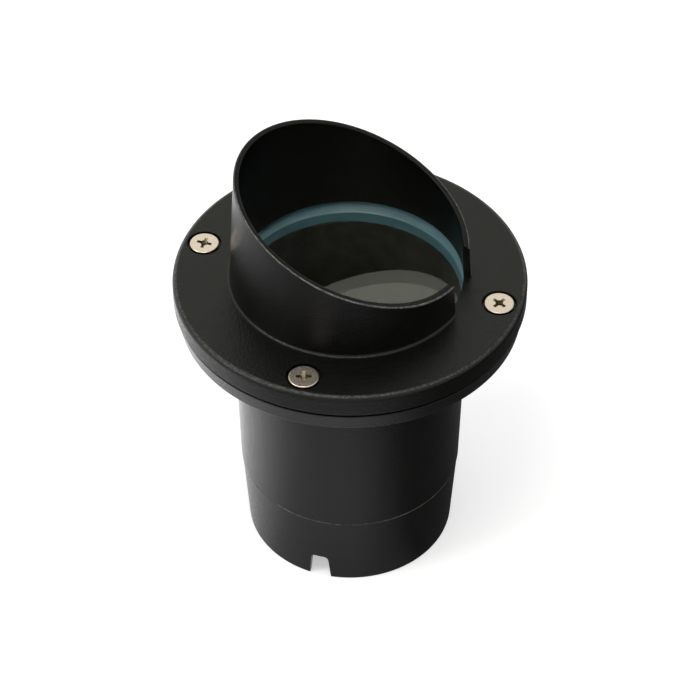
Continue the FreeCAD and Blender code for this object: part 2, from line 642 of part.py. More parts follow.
def lamp_dish():
    """Pressed glass reflector: rim with a seat for its front glass, curved wall, open throat."""
    rim_z = LAMP_RIM_TOP_Z - LAMP_RIM_HEIGHT
    seat_z = LAMP_RIM_TOP_Z - LAMP_GLASS_SEAT
    throat_z = LAMP_BASE_Z + LAMP_THROAT_RISE
    throat_end_z = throat_z + LAMP_THROAT_LENGTH
    outer = Part.Arc(V(LAMP_DISH_TOP_R, 0, rim_z), V(LAMP_DISH_WAIST_R, 0, rim_z - LAMP_DISH_WAIST_DROP),
                     V(LAMP_THROAT_R, 0, throat_z))
    inner = Part.Arc(V(LAMP_THROAT_BORE_R, 0, throat_end_z),
                     V(LAMP_DISH_BORE_WAIST_R, 0, rim_z - LAMP_DISH_BORE_WAIST_DROP),
                     V(LAMP_DISH_BORE_TOP_R, 0, seat_z))
    rim = [V(LAMP_DISH_BORE_TOP_R, 0, seat_z), V(LAMP_RIM_BORE_R, 0, seat_z),
           V(LAMP_RIM_BORE_R, 0, LAMP_RIM_TOP_Z), V(LAMP_RIM_R, 0, LAMP_RIM_TOP_Z),
           V(LAMP_RIM_R, 0, rim_z), V(LAMP_DISH_TOP_R, 0, rim_z)]
    throat = [V(LAMP_THROAT_R, 0, throat_z), V(LAMP_THROAT_BORE_R, 0, throat_z),
              V(LAMP_THROAT_BORE_R, 0, throat_end_z)]
    edges = [Part.makeLine(a, b) for a, b in zip(rim, rim[1:])]
    edges += [outer.toShape()]
    edges += [Part.makeLine(a, b) for a, b in zip(throat, throat[1:])]
    edges += [inner.toShape()]
    return Part.Face(Part.Wire(edges)).revolve(CENTRE, AXIS_Z, 360)


def lamp_reflector():
    """Dish on its flat-sided neck, bored for the burner and the pins."""
    neck_top_z = LAMP_BASE_Z + LAMP_NECK_HEIGHT
    neck = block(LAMP_NECK_WIDTH, LAMP_NECK_DEPTH, LAMP_BASE_Z, neck_top_z, LAMP_NECK_CORNER_R)
    burner_bore = rod(BURNER_R + BURNER_CLEARANCE, BURNER_FOOT_Z, neck_top_z + PAST)
    pin_top_z = LAMP_BASE_Z + LAMP_PIN_ROOT
    pin_holes = [rod(LAMP_PIN_R, LAMP_BASE_Z - PAST, pin_top_z, x) for x in LAMP_PIN_XS]
    return lamp_dish().fuse(neck).removeSplitter().cut([burner_bore] + pin_holes)


def lamp_front_glass():
    """The lamp's own flat cover."""
    glass_r = LAMP_RIM_BORE_R - LAMP_GLASS_GAP
    return rod(glass_r, LAMP_RIM_TOP_Z - LAMP_GLASS_SEAT, LAMP_RIM_TOP_Z - LAMP_GLASS_GAP)


def lamp_capsule():
    """Burner capsule with a domed end."""
    return turned([
        (0, BURNER_FOOT_Z, 0),
        (BURNER_R, BURNER_FOOT_Z, 0),
        (BURNER_R, BURNER_FOOT_Z + BURNER_LENGTH, BURNER_DOME_R),
        (0, BURNER_FOOT_Z + BURNER_LENGTH, 0),
    ])


def lamp_pins():
    """Two contact pins from the lamp's neck down into the socket."""
    low_z, high_z = LAMP_BASE_Z - LAMP_PIN_LENGTH, LAMP_BASE_Z + LAMP_PIN_ROOT
    return Part.makeCompound([rod(LAMP_PIN_R, low_z, high_z, x) for x in LAMP_PIN_XS])


def lamp_socket():
    """Ceramic two-pin socket with a lead hole for each pin in its side."""
    body = block(SOCKET_WIDTH, SOCKET_DEPTH_Y, LAMP_BASE_Z - SOCKET_HEIGHT, LAMP_BASE_Z, SOCKET_CORNER_R)
    pin_hole_r = LAMP_PIN_R + SOCKET_PIN_CLEARANCE
    pin_low_z = LAMP_BASE_Z - LAMP_PIN_LENGTH - PAST
    pin_holes = [rod(pin_hole_r, pin_low_z, LAMP_BASE_Z + PAST, x) for x in LAMP_PIN_XS]
    lead_y = LEAD_EXIT_DEPTH - SOCKET_DEPTH_Y / 2
    lead_holes = [Part.makeCylinder(LEAD_R, LEAD_EXIT_DEPTH, V(x, lead_y, LEAD_EXIT_Z), -AXIS_Y)
                  for x in (-LEAD_X, LEAD_X)]
    return body.cut(pin_holes + lead_holes)


def socket_leads():
    """Two leads that rise from the socket's side, arch over and drop into the terminal block."""
    drop_y = BLOCK_Y + BLOCK_ENTRY_Y
    rise_y = -SOCKET_DEPTH_Y / 2 - LEAD_RUN_OUT - LEAD_BEND_R
    arch_r = (rise_y - drop_y) / 2
    bend_middle = LEAD_BEND_R * (1 - math.sin(math.radians(45)))
    leads = []
    for x in (-LEAD_X, LEAD_X):
        start = V(x, LEAD_EXIT_DEPTH - SOCKET_DEPTH_Y / 2, LEAD_EXIT_Z)
        bend = [V(x, rise_y + LEAD_BEND_R, LEAD_EXIT_Z),
                V(x, rise_y + bend_middle, LEAD_EXIT_Z + bend_middle),
                V(x, rise_y, LEAD_EXIT_Z + LEAD_BEND_R)]
        arch = [V(x, rise_y, LEAD_ARCH_Z),
                V(x, rise_y - arch_r, LEAD_ARCH_Z + arch_r),
                V(x, drop_y, LEAD_ARCH_Z)]
        path = Part.Wire([
            Part.makeLine(start, bend[0]),
            Part.Arc(*bend).toShape(),
            Part.makeLine(bend[2], arch[0]),
            Part.Arc(*arch).toShape(),
            Part.makeLine(arch[2], V(x, drop_y, BLOCK_TOP_Z - BLOCK_ENTRY_DEPTH + LEAD_END_GAP)),
        ])
        section = Part.Wire(Part.makeCircle(LEAD_R, start, AXIS_Y))
        leads.append(path.makePipeShell([section], True, False))
    print("lead bend radii", LEAD_BEND_R, round(arch_r, 2))
    return Part.makeCompound(leads)


NODES = (
    hood_cover, cover_screws, lens_gasket, lens_glass, housing_body,
    cable_elbow, cable_seal, clamp_nut, elbow_seal, hollow_nipple,
    swivel_spacer, swivel_washer, swivel_nut, swivel_bracket, terminal_block, terminal_screw,
    gimbal_ring, tilt_screws, tilt_washers, lamp_clip, lamp_reflector, lamp_front_glass,
    lamp_capsule, lamp_pins, lamp_socket, socket_leads,
)

os.makedirs("parts", exist_ok=True)
for node in NODES:
    shape = node()
    shape.exportStep("parts/" + node.__name__ + ".step")
    print(node.__name__, "solids", len(shape.Solids), "volume", round(shape.Volume, 1), shape.isValid())
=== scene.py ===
import bpy
import bmesh
import math
from mathutils import Matrix, Vector


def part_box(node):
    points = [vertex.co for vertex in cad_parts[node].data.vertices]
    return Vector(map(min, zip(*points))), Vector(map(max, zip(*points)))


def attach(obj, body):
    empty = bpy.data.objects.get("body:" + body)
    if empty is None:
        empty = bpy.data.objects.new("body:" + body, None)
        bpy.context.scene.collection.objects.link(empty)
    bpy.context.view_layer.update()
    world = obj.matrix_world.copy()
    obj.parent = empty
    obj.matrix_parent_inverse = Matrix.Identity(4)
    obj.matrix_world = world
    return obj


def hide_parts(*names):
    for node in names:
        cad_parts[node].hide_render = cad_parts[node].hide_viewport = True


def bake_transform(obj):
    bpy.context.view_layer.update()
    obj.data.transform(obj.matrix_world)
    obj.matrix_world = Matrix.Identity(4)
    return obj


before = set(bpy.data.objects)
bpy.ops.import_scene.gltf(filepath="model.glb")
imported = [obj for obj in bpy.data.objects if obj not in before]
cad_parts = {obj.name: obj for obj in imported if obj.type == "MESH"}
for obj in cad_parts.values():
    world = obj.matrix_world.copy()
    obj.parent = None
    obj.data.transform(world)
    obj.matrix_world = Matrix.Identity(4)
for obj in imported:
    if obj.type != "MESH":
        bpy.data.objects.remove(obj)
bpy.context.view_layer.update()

MM = 0.001

# ------------------------------------------------------------------ sizes, in millimetres


def box_mm(node):
    """A CAD node's lowest and highest corner in millimetres."""
    low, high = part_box(node)
    return Vector(low) / MM, Vector(high) / MM


cover_low, cover_high = box_mm("hood_cover")
pot_high = box_mm("housing_body")[1]
glass_low = box_mm("lens_glass")[0]
gasket_low, gasket_high = box_mm("lens_gasket")
screw_low, screw_high = box_mm("cover_screws")
rim_low, rim_high = box_mm("lamp_reflector")
socket_low = box_mm("lamp_socket")[0]
block_high = box_mm("terminal_block")[1]
burner_low, burner_high = box_mm("lamp_capsule")
leads_high = box_mm("socket_leads")[1]

# Corner radii, from plain to fine
EDGE_R = 0.5
SMALL_EDGE_R = 0.4
FINE_EDGE_R = 0.25

# Face ring and hood. A draft is the loss of radius per millimetre of height, and the hood's rim lies in
# the plane z = HOOD_CUT_Z - HOOD_CUT_SLOPE * x.
FLANGE_R = 60.0
COVER_UNDERSIDE_Z = cover_low.z
COVER_TOP_Z = 114.5
COVER_EDGE_R = 1.7
SHADOW_GAP = 0.55
SHADOW_GAP_DEPTH = 1.8
HOOD_FOOT_R = 1.0
HOOD_BASE_R = 40.7
HOOD_DRAFT = 0.0587
HOOD_BORE_R = 38.4
HOOD_BORE_DRAFT = 0.0472
HOOD_CUT_Z = 142.7
HOOD_CUT_SLOPE = 0.402
DRAIN_SLOT_WIDTH = 19.6
DRAIN_SLOT_FROM_R = 30.0
DRAIN_SLOT_TO_R = 50.0
DRAIN_SLOT_HEIGHT = 40.0

# Pot
FLANGE_TOP_Z = pot_high.z
FLANGE_TOP_R = 59.5
FLANGE_UNDERSIDE_Z = 99.3
FLANGE_UNDERSIDE_R = 58.4
FLANGE_FILLET_R = 2.5
POT_TOP_R = 40.4
POT_STEP_R = 38.9
POT_GROOVE_R = 38.25
POT_GROOVE_Z = 30.6
POT_GROOVE_WIDTH = 0.9
SKIRT_TOP_R = 38.65
SKIRT_BOTTOM_R = 36.8
SKIRT_BORE_R = 34.9
SKIRT_BORE_TOP_R = 34.6
SKIRT_BORE_FILLET_R = 1.5
BORE_TOP_R = 37.8
BORE_FLOOR_R = 35.2
BORE_FILLET_R = 2.0
FLOOR_Z = 16.0
FLOOR_THICKNESS = 3.0
NIPPLE_R = 4.0
NOTCH_BOTTOM_WIDTH = 8.0
NOTCH_TOP_WIDTH = 6.0
NOTCH_BOTTOM_Z = -0.4
NOTCH_HEIGHT = 10.8
NOTCH_CORNER_R = 1.6
NOTCH_FROM_Y = -42.0
NOTCH_REACH = 12.0

# Gasket and glass. WETTING is how far the silicone reaches into the glass.
GASKET_RECESS_R = 46.2
GASKET_R = 46.0
GASKET_BORE_R = 37.8
GASKET_LIP_R = 38.3
GASKET_LIP_Z = 105.0
GASKET_SEAT_R = 41.8
GLASS_R = 44.0
WETTING = 0.06

# Cover screws and their holes. SCREW_ANGLES is how each cross recess is left turned, in degrees.
# RECESS_FOOT is the share of the recess's reach that its bottom has, and THREAD_TAPER the share of its
# radius that the thread loses at its end.
SCREW_CIRCLE_R = 52.0
SCREW_ANGLES = (62, 35, -1, 17)
SCREW_R = 2.5
SCREW_HEAD_R = 4.95
SCREW_HEAD_EDGE = 0.3
SCREW_CROWN_R = 0.28
SCREW_POCKET_R = 5.9
SCREW_POCKET_DEPTH = 1.4
HOLE_CLEARANCE = 0.25
THREAD_CLEARANCE = 0.05
THREAD_PITCH = 0.8
THREAD_DEPTH = 0.45
THREAD_TAPER = 0.2
RECESS_REACH = 2.6
RECESS_WIDTH = 1.15
RECESS_DEPTH = 2.2
RECESS_FOOT = 0.42
RECESS_CORE_R = 1.38
RECESS_TIP_R = 1.02

# Lamp
RIM_HEIGHT = 2.8
RIM_WALL = 1.35
RIM_EDGE_R = 0.3
LAMP_GLASS_SEAT = 2.0
DISH_TOP_R = 23.6
DISH_WAIST_R = 17.9
DISH_WAIST_DROP = 13.6
DISH_BORE_TOP_R = 22.6
DISH_BORE_WAIST_R = 16.4
DISH_BORE_WAIST_DROP = 12.6
THROAT_R = 7.0
THROAT_BORE_R = 5.2
THROAT_RISE = 12.0
THROAT_LENGTH = 2.0
NECK_WIDTH = 15.0
NECK_DEPTH = 10.4
NECK_HEIGHT = 13.0
NECK_CORNER_R = 1.5
FACETS_ROUND = 36
FACET_ROWS = 9
FACET_STEPS = 5
FACET_DEPTH = 0.16
BURNER_BORE_R = 4.7
BURNER_BORE_HEIGHT = 20.0
BURNER_CROWN_R = 3.4
BURNER_BORE_CROWN_R = 2.8
BURNER_BORE_FOOT_R = 1.5
BURNER_WALL = 0.8
BURNER_FOOT = 5.0
COIL_RISE = 10.5
COIL_LENGTH = 3.4
COIL_R = 0.55
COIL_TURNS = 9
COIL_STEPS = 14
COIL_WIRE_R = 0.09
COIL_POST_RISE = 2.0

# Socket leads
BLOCK_Y = -22.0
BLOCK_ENTRY_Y = 3.4
LEAD_X = 3.4
LEAD_R = 0.9
LEAD_EXIT_Z = 27.5

# Fineness of the meshes. A support point lies SUPPORT from a rounded corner, and a share of that from a
# sharp one, so that smooth shading stays in the corner.
CASTING_SEGMENTS = 256
POCKET_SEGMENTS = 64
HOLE_SEGMENTS = 32
HEAD_SEGMENTS = 96
RECESS_SEGMENTS = 24
THREAD_SEGMENTS = 40
THREAD_ROWS = 8
BURNER_SEGMENTS = 64
NECK_BORE_SEGMENTS = 48
FACET_SEGMENTS = 6
DISH_STEPS = 24
ROUND_STEPS = 6
SUPPORT = 0.15
SHARP_SHARE = 0.3
WELD = 1e-4 * MM
SLIVER = 1e-5 * MM
CUTTER_REACH = 1.0

# ------------------------------------------------------------------ mesh helpers


def arc_points(last, here, following, radius):
    """Points of a tangent arc of that radius in the corner at here, with a support point each side."""
    back = (last - here).normalized()
    ahead = (following - here).normalized()
    half_angle = back.angle(ahead) / 2
    reach = radius / math.tan(half_angle)
    start, end = here + back * reach, here + ahead * reach
    centre = here + (back + ahead).normalized() * (radius / math.sin(half_angle))
    first, sweep = start - centre, (start - centre).angle_signed(end - centre)
    turned_points = []
    for step in range(ROUND_STEPS + 1):
        spoke = first.copy()
        spoke.rotate(Matrix.Rotation(-sweep * step / ROUND_STEPS, 2))
        turned_points.append(centre + spoke)
    return [start + back * SUPPORT] + turned_points + [end + ahead * SUPPORT]


def outline(corners):
    """Section points in millimetres from (radius, z, corner radius); a corner radius of 0 stays sharp."""
    spots = [Vector((r, z)) for r, z, _ in corners]
    points = []
    for index, here in enumerate(spots):
        last, following = spots[index - 1], spots[(index + 1) % len(spots)]
        if corners[index][2] > 0:
            points += arc_points(last, here, following, corners[index][2])
        elif here.x == 0:
            points.append(here)
        else:
            back, ahead = (last - here).normalized(), (following - here).normalized()
            points += [here + back * SUPPORT * SHARP_SHARE, here, here + ahead * SUPPORT * SHARP_SHARE]
    return points


def face_out(shape):
    """Turns the faces of one closed shell outwards."""
    bmesh.ops.recalc_face_normals(shape, faces=shape.faces)
    if shape.calc_volume(signed=True) < 0:
        bmesh.ops.reverse_faces(shape, faces=shape.faces)


def revolved_mesh(name, section_at, segments):
    """Closed solid of revolution. section_at gives the section's points at an azimuth in radians."""
    mesh = bpy.data.meshes.new(name)
    shape = bmesh.new()
    rings = []
    for step in range(segments):
        azimuth = 2 * math.pi * step / segments
        direction = Vector((math.cos(azimuth), math.sin(azimuth), 0))
        ring = []
        for point in section_at(azimuth):
            ring.append(shape.verts.new((direction * point.x + Vector((0, 0, point.y))) * MM))
        rings.append(ring)
    for step in range(segments):
        ring, following = rings[step], rings[(step + 1) % segments]
        for index in range(len(ring)):
            around = (index + 1) % len(ring)
            shape.faces.new((ring[index], following[index], following[around], ring[around]))
    bmesh.ops.remove_doubles(shape, verts=shape.verts, dist=WELD)
    bmesh.ops.dissolve_degenerate(shape, edges=shape.edges, dist=SLIVER)
    for edge in [edge for edge in shape.edges if edge.is_wire]:
        shape.edges.remove(edge)
    face_out(shape)
    shape.to_mesh(mesh)
    shape.free()
    return mesh


def turned(name, corners, segments):
    """Object of revolution with one section all round."""
    points = outline(corners)
    return add(name, revolved_mesh(name, lambda azimuth: points, segments))


def add(name, data):
    """A new object in the scene, from a mesh, curve, lamp or camera."""
    obj = bpy.data.objects.new(name, data)
    bpy.context.scene.collection.objects.link(obj)
    return obj


def extruded(name, points, direction):
    """Prism from a planar outline of 3-D points in millimetres."""
    mesh = bpy.data.meshes.new(name)
    shape = bmesh.new()
    low = [shape.verts.new(Vector(p) * MM) for p in points]
    high = [shape.verts.new((Vector(p) + Vector(direction)) * MM) for p in points]
    shape.faces.new(low)
    shape.faces.new(high)
    for index in range(len(points)):
        around = (index + 1) % len(points)
        shape.faces.new((low[index], low[around], high[around], high[index]))
    face_out(shape)
    shape.to_mesh(mesh)
    shape.free()
    return add(name, mesh)


def cut(obj, cutters):
    """Cuts the cutters out of an object's mesh and removes them."""
    for cutter in cutters:
        modifier = obj.modifiers.new("cut", "BOOLEAN")
        modifier.operation = "DIFFERENCE"
        modifier.solver = "MANIFOLD"
        modifier.object = cutter
    bake(obj)
    for cutter in cutters:
        bpy.data.objects.remove(cutter)


def bake(obj):
    """Turns an object's modifiers into its mesh."""
    bpy.context.view_layer.update()
    evaluated = obj.evaluated_get(bpy.context.evaluated_depsgraph_get())
    mesh = bpy.data.meshes.new_from_object(evaluated)
    obj.modifiers.clear()
    obj.data = mesh


def soften(obj, degrees=32):
    """Smooth shading with sharp edges beyond an angle."""
    obj.data.shade_smooth()
    obj.data.set_sharp_from_angle(angle=math.radians(degrees))


def place(obj, matrix):
    """Moves a new object's mesh, so that the object itself stays at the origin."""
    obj.data.transform(matrix)
    obj.data.update()


def joined(name, objects):
    """One object out of several, its meshes side by side."""
    shape = bmesh.new()
    for obj in objects:
        shape.from_mesh(obj.data)
    mesh = bpy.data.meshes.new(name)
    shape.to_mesh(mesh)
    shape.free()
    for obj in objects:
        bpy.data.objects.remove(obj)
    return add(name, mesh)


def finish_piece(obj, material, body, slot, *nodes):
    """Gives a new piece its material, body and the CAD nodes it stands for.

    A piece that bends between two bodies has no one body, and None stands for that. The slot argument is not
    used.
    """
    obj.data.materials.clear()
    obj.data.materials.append(material)
    if body is not None:
        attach(obj, body)
    if nodes:
        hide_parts(*nodes)


# ------------------------------------------------------------------ materials


class Shader:
    """A material's node tree with short calls for the nodes used here."""

    def __init__(self, name):
        self.material = bpy.data.materials.new(name)
        self.material.use_nodes = True
        self.tree = self.material.node_tree
        self.surface = self.tree.nodes["Principled BSDF"]
        self.coordinates = self.add("ShaderNodeTexCoord").outputs["Object"]

    def add(self, kind, **values):
        """A new node, with values for its properties and for sockets by name."""
        node = self.tree.nodes.new(kind)
        for key, value in values.items():
            if hasattr(node, key):
                setattr(node, key, value)
            else:
                node.inputs[key.replace("_", " ")].default_value = value
        return node

    def link(self, source, target):
        """Joins two sockets."""
        self.tree.links.new(source, target)

    def set(self, **values):
        """Sets the surface's own sockets by name."""
        for key, value in values.items():
            self.surface.inputs[key.replace("_", " ")].default_value = value

    def noise(self, grain_mm, detail=2.0, roughness=0.5):
        """Noise whose features are about grain_mm across."""
        node = self.add("ShaderNodeTexNoise", Scale=1.0 / (grain_mm * MM), Detail=detail, Roughness=roughness)
        self.link(self.coordinates, node.inputs["Vector"])
        return node.outputs["Fac"]

    def cells(self, grain_mm):
        """Rounded cells about grain_mm across."""
        node = self.add("ShaderNodeTexVoronoi", feature="SMOOTH_F1", Scale=1.0 / (grain_mm * MM))
        self.link(self.coordinates, node.inputs["Vector"])
        return node.outputs["Distance"]

    def ramp(self, source, stops):
        """Colour ramp with (position, colour) stops."""
        node = self.add("ShaderNodeValToRGB")
        self.link(source, node.inputs["Fac"])
        elements = node.color_ramp.elements
        while len(elements) < len(stops):
            elements.new(0.5)
        for element, (position, colour) in zip(elements, stops):
            element.position = position
            element.color = (*colour, 1)
        return node.outputs["Color"]

    def span(self, source, low, high, to_low, to_high):
        """Maps a value from one range to another."""
        node = self.add("ShaderNodeMapRange")
        for socket, value in zip(node.inputs[1:5], (low, high, to_low, to_high)):
            socket.default_value = value
        self.link(source, node.inputs[0])
        return node.outputs[0]

    def bump(self, height, distance_mm, strength=1.0, below=None):
        """Normals of a height, on top of the normals below it."""
        node = self.add("ShaderNodeBump", Strength=strength, Distance=distance_mm * MM)
        self.link(height, node.inputs["Height"])
        if below is not None:
            self.link(below, node.inputs["Normal"])
        return node.outputs["Normal"]


# Sockets of a Mix node that mixes colours
MIX_A, MIX_B, MIX_RESULT = 6, 7, 2
# Lighter edge tone: partly coat rubbed thin, partly a painted highlight on edges that catch the light
RUBBED_AND_HIGHLIGHT_TONE = (0.16, 0.16, 0.165, 1)


def powder_coat(name="powder_coat", deep=(0.0012, 0.0012, 0.0010), thin=(0.0022, 0.0022, 0.0018), gloss=0.26):
    """Black powder coat with a fine hard grain. The wear_and_highlight attribute says where a lighter
    speckled tone goes: partly coat rubbed thin, partly painted highlight on edges that catch the light.
    """
    shader = Shader(name)
    grain = shader.cells(0.66)
    fine = shader.noise(0.38, 3.0, 0.60)
    slow = shader.noise(6.0, 2.0)
    normal = shader.bump(slow, 0.03, 0.20)
    normal = shader.bump(grain, 0.18, 0.60, normal)
    normal = shader.bump(fine, 0.14, 0.80, normal)
    shader.link(normal, shader.surface.inputs["Normal"])
    black = shader.ramp(slow, [(0.3, deep), (0.7, thin)])
    # Painted highlight and rubbed coat along the marked edges, speckled
    edge = shader.add("ShaderNodeAttribute", attribute_name="wear_and_highlight").outputs["Fac"]
    speckle = shader.span(shader.noise(0.70, 2.0, 0.7), 0.46, 0.60, 0.22, 1)
    worn_and_lit = shader.add("ShaderNodeMath", operation="MULTIPLY")
    shader.link(edge, worn_and_lit.inputs[0])
    shader.link(speckle, worn_and_lit.inputs[1])
    tone = shader.add("ShaderNodeMix", data_type="RGBA")
    shader.link(worn_and_lit.outputs[0], tone.inputs["Factor"])
    shader.link(black, tone.inputs[MIX_A])
    tone.inputs[MIX_B].default_value = RUBBED_AND_HIGHLIGHT_TONE
    shader.link(tone.outputs[MIX_RESULT], shader.surface.inputs["Base Color"])
    shader.link(shader.span(fine, 0.3, 0.7, 0.12, 0.25), shader.surface.inputs["Roughness"])
    shader.set(Specular_IOR_Level=gloss)
    return shader.material


def stainless(name="stainless", colour=(0.77, 0.66, 0.57), rough=0.30):
    """Satin steel with faint mottling."""
    shader = Shader(name)
    mottle = shader.noise(0.5, 4.0, 0.6)
    dark = tuple(0.88 * c for c in colour)
    shader.link(shader.ramp(mottle, [(0.35, dark), (0.6, colour)]), shader.surface.inputs["Base Color"])
    shader.link(shader.span(mottle, 0.3, 0.7, rough * 0.8, rough * 1.25), shader.surface.inputs["Roughness"])
    shader.link(shader.bump(mottle, 0.02, 0.4), shader.surface.inputs["Normal"])
    shader.set(Metallic=1.0)
    return shader.material


def silicone():
    """Blue-grey moulded silicone with a satin skin."""
    shader = Shader("silicone")
    cloud = shader.noise(5.0, 3.0)
    shader.link(shader.ramp(cloud, [(0.3, (0.056, 0.132, 0.166)), (0.7, (0.068, 0.152, 0.190))]),
                shader.surface.inputs["Base Color"])
    shader.link(shader.bump(shader.noise(0.6, 2.0), 0.02, 0.3), shader.surface.inputs["Normal"])
    shader.link(shader.span(cloud, 0.3, 0.7, 0.32, 0.40), shader.surface.inputs["Roughness"])
    shader.set(Specular_IOR_Level=1.0)
    return shader.material


def clear_glass(name, tint):
    """Clear toughened glass with a trace of haze, which lets lamps light what is behind it."""
    shader = Shader(name)
    haze = shader.noise(9.0, 2.0)
    shader.link(shader.span(haze, 0.3, 0.7, 0.0, 0.015), shader.surface.inputs["Roughness"])
    shader.set(Base_Color=(*tint, 1), Transmission_Weight=1.0, IOR=1.52)
    shader.surface.inputs["Specular Tint"].default_value = (1.0, 1.0, 0.90, 1)
    rays = shader.add("ShaderNodeLightPath")
    clear = shader.add("ShaderNodeBsdfTransparent", Color=(*tint, 1))
    seen = shader.add("ShaderNodeMixShader")
    shader.link(rays.outputs["Is Shadow Ray"], seen.inputs[0])
    shader.link(shader.surface.outputs[0], seen.inputs[1])
    shader.link(clear.outputs[0], seen.inputs[2])
    shader.link(seen.outputs[0], shader.tree.nodes["Material Output"].inputs["Surface"])
    return shader.material


def thin_glass(name):
    """Thin clear glass of a lamp: a faint gloss over what is behind it."""
    shader = Shader(name)
    haze = shader.noise(6.0, 2.0)
    shader.link(shader.span(haze, 0.3, 0.7, 0.02, 0.05), shader.surface.inputs["Roughness"])
    shader.set(Base_Color=(0.06, 0.06, 0.06, 1), Alpha=0.22, Specular_IOR_Level=0.9)
    return shader.material


def moulded(name, colour, rough=0.5, grain_mm=0.4):
    """Moulded plastic, rubber or ceramic with a fine skin."""
    shader = Shader(name)
    skin = shader.noise(grain_mm, 3.0)
    dark = tuple(0.82 * c for c in colour)
    shader.link(shader.ramp(skin, [(0.3, dark), (0.7, colour)]), shader.surface.inputs["Base Color"])
    shader.link(shader.bump(skin, 0.03, 0.4), shader.surface.inputs["Normal"])
    shader.link(shader.span(skin, 0.3, 0.7, rough * 0.85, rough * 1.15), shader.surface.inputs["Roughness"])
    return shader.material


def reflector_coat():
    """Bright mirror coat with a slight warm bloom."""
    shader = Shader("reflector_coat")
    bloom = shader.noise(4.0, 2.0)
    shader.link(shader.ramp(bloom, [(0.3, (0.82, 0.80, 0.78)), (0.7, (0.93, 0.91, 0.88))]),
                shader.surface.inputs["Base Color"])
    shader.link(shader.span(bloom, 0.3, 0.7, 0.06, 0.12), shader.surface.inputs["Roughness"])
    shader.set(Metallic=1.0)
    return shader.material


COAT = powder_coat()
# A less glossy copy of the coat for the inside of the hood: painted shade
HOOD_BORE_SHADED_COAT = powder_coat("hood_bore_shaded_coat", gloss=0.12)
# A lighter copy of the coat for the inside of the pot: painted light
POT_BORE_LIT_COAT = powder_coat("pot_bore_lit_coat", (0.015, 0.015, 0.012), (0.024, 0.024, 0.019))
STAINLESS = stainless()
RECESS = stainless("screw_recess", (0.360, 0.310, 0.230), 0.28)
ZINC = stainless("zinc_plate", (0.60, 0.60, 0.58), 0.38)
BRASS = stainless("brass", (0.80, 0.58, 0.28), 0.30)
ALUMINIUM = stainless("dark_aluminium", (0.11, 0.11, 0.115), 0.42)
SILICONE = silicone()
LENS = clear_glass("lens", (0.955, 0.985, 0.955))
LAMP_GLASS = thin_glass("lamp_glass")
NYLON = moulded("nylon", (0.030, 0.030, 0.031), 0.5)
RUBBER = moulded("rubber", (0.018, 0.018, 0.018), 0.7)
WHITE_NYLON = moulded("white_nylon", (0.66, 0.64, 0.58), 0.45)
PORCELAIN = moulded("porcelain", (0.74, 0.70, 0.62), 0.6)
SLEEVE = moulded("lead_sleeve", (0.58, 0.54, 0.46), 0.75, 0.25)
LAMP_BACK = moulded("lamp_back", (0.30, 0.30, 0.31), 0.22, 1.5)
MIRROR = reflector_coat()
TUNGSTEN = stainless("tungsten", (0.35, 0.34, 0.33), 0.35)

CAD_MATERIALS = {
    "lens_glass": LENS,
    "cable_elbow": NYLON,
    "cable_seal": RUBBER,
    "clamp_nut": NYLON,
    "elbow_seal": RUBBER,
    "hollow_nipple": BRASS,
    "swivel_spacer": NYLON,
    "swivel_washer": ZINC,
    "swivel_nut": ZINC,
    "swivel_bracket": ZINC,
    "terminal_block": WHITE_NYLON,
    "terminal_screw": ZINC,
    "gimbal_ring": ALUMINIUM,
    "tilt_screws": STAINLESS,
    "tilt_washers": ZINC,
    "lamp_clip": STAINLESS,
    "lamp_front_glass": LAMP_GLASS,
    "lamp_pins": BRASS,
    "lamp_socket": PORCELAIN,
}

# ------------------------------------------------------------------ castings


def hood_wall(azimuth, base_r, base_z, draft):
    """Where the hood's slanting rim plane meets a drafted wall at this azimuth: (radius, z)."""
    slope = HOOD_CUT_SLOPE * math.cos(azimuth)
    z = (HOOD_CUT_Z - slope * (base_r + draft * base_z)) / (1 - slope * draft)
    return base_r - draft * (z - base_z), z


def cover_section(azimuth):
    """Section points of face ring and hood at an azimuth."""
    outer_r, outer_z = hood_wall(azimuth, HOOD_BASE_R, COVER_TOP_Z, HOOD_DRAFT)
    inner_r, inner_z = hood_wall(azimuth, HOOD_BORE_R, gasket_high.z, HOOD_BORE_DRAFT)
    return outline([
        (HOOD_BORE_R, gasket_high.z, EDGE_R),
        (GASKET_RECESS_R, gasket_high.z, 0),
        (GASKET_RECESS_R, COVER_UNDERSIDE_Z, EDGE_R),
        (FLANGE_R - SHADOW_GAP_DEPTH, COVER_UNDERSIDE_Z, 0),
        (FLANGE_R - SHADOW_GAP_DEPTH, COVER_UNDERSIDE_Z + SHADOW_GAP, 0),
        (FLANGE_R, COVER_UNDERSIDE_Z + SHADOW_GAP, FINE_EDGE_R),
        (FLANGE_R, COVER_TOP_Z, COVER_EDGE_R),
        (HOOD_BASE_R, COVER_TOP_Z, HOOD_FOOT_R),
        (outer_r, outer_z, EDGE_R),
        (inner_r, inner_z, EDGE_R),
    ])


def screw_pocket():
    """Cutter for one screw hole on the Z axis: a countersink in the floor of a wider pocket."""
    floor_z = COVER_TOP_Z - SCREW_POCKET_DEPTH
    seat_r = SCREW_HEAD_R - (screw_high.z - SCREW_HEAD_EDGE - floor_z)
    hole_r = SCREW_R + HOLE_CLEARANCE
    low_z, high_z = COVER_UNDERSIDE_Z - CUTTER_REACH, COVER_TOP_Z + CUTTER_REACH
    return turned("pocket", [
        (0, low_z, 0),
        (hole_r, low_z, 0),
        (hole_r, floor_z - seat_r + hole_r, 0),
        (seat_r, floor_z, 0),
        (SCREW_POCKET_R, floor_z, FINE_EDGE_R),
        (SCREW_POCKET_R, high_z, 0),
        (0, high_z, 0),
    ], POCKET_SEGMENTS)


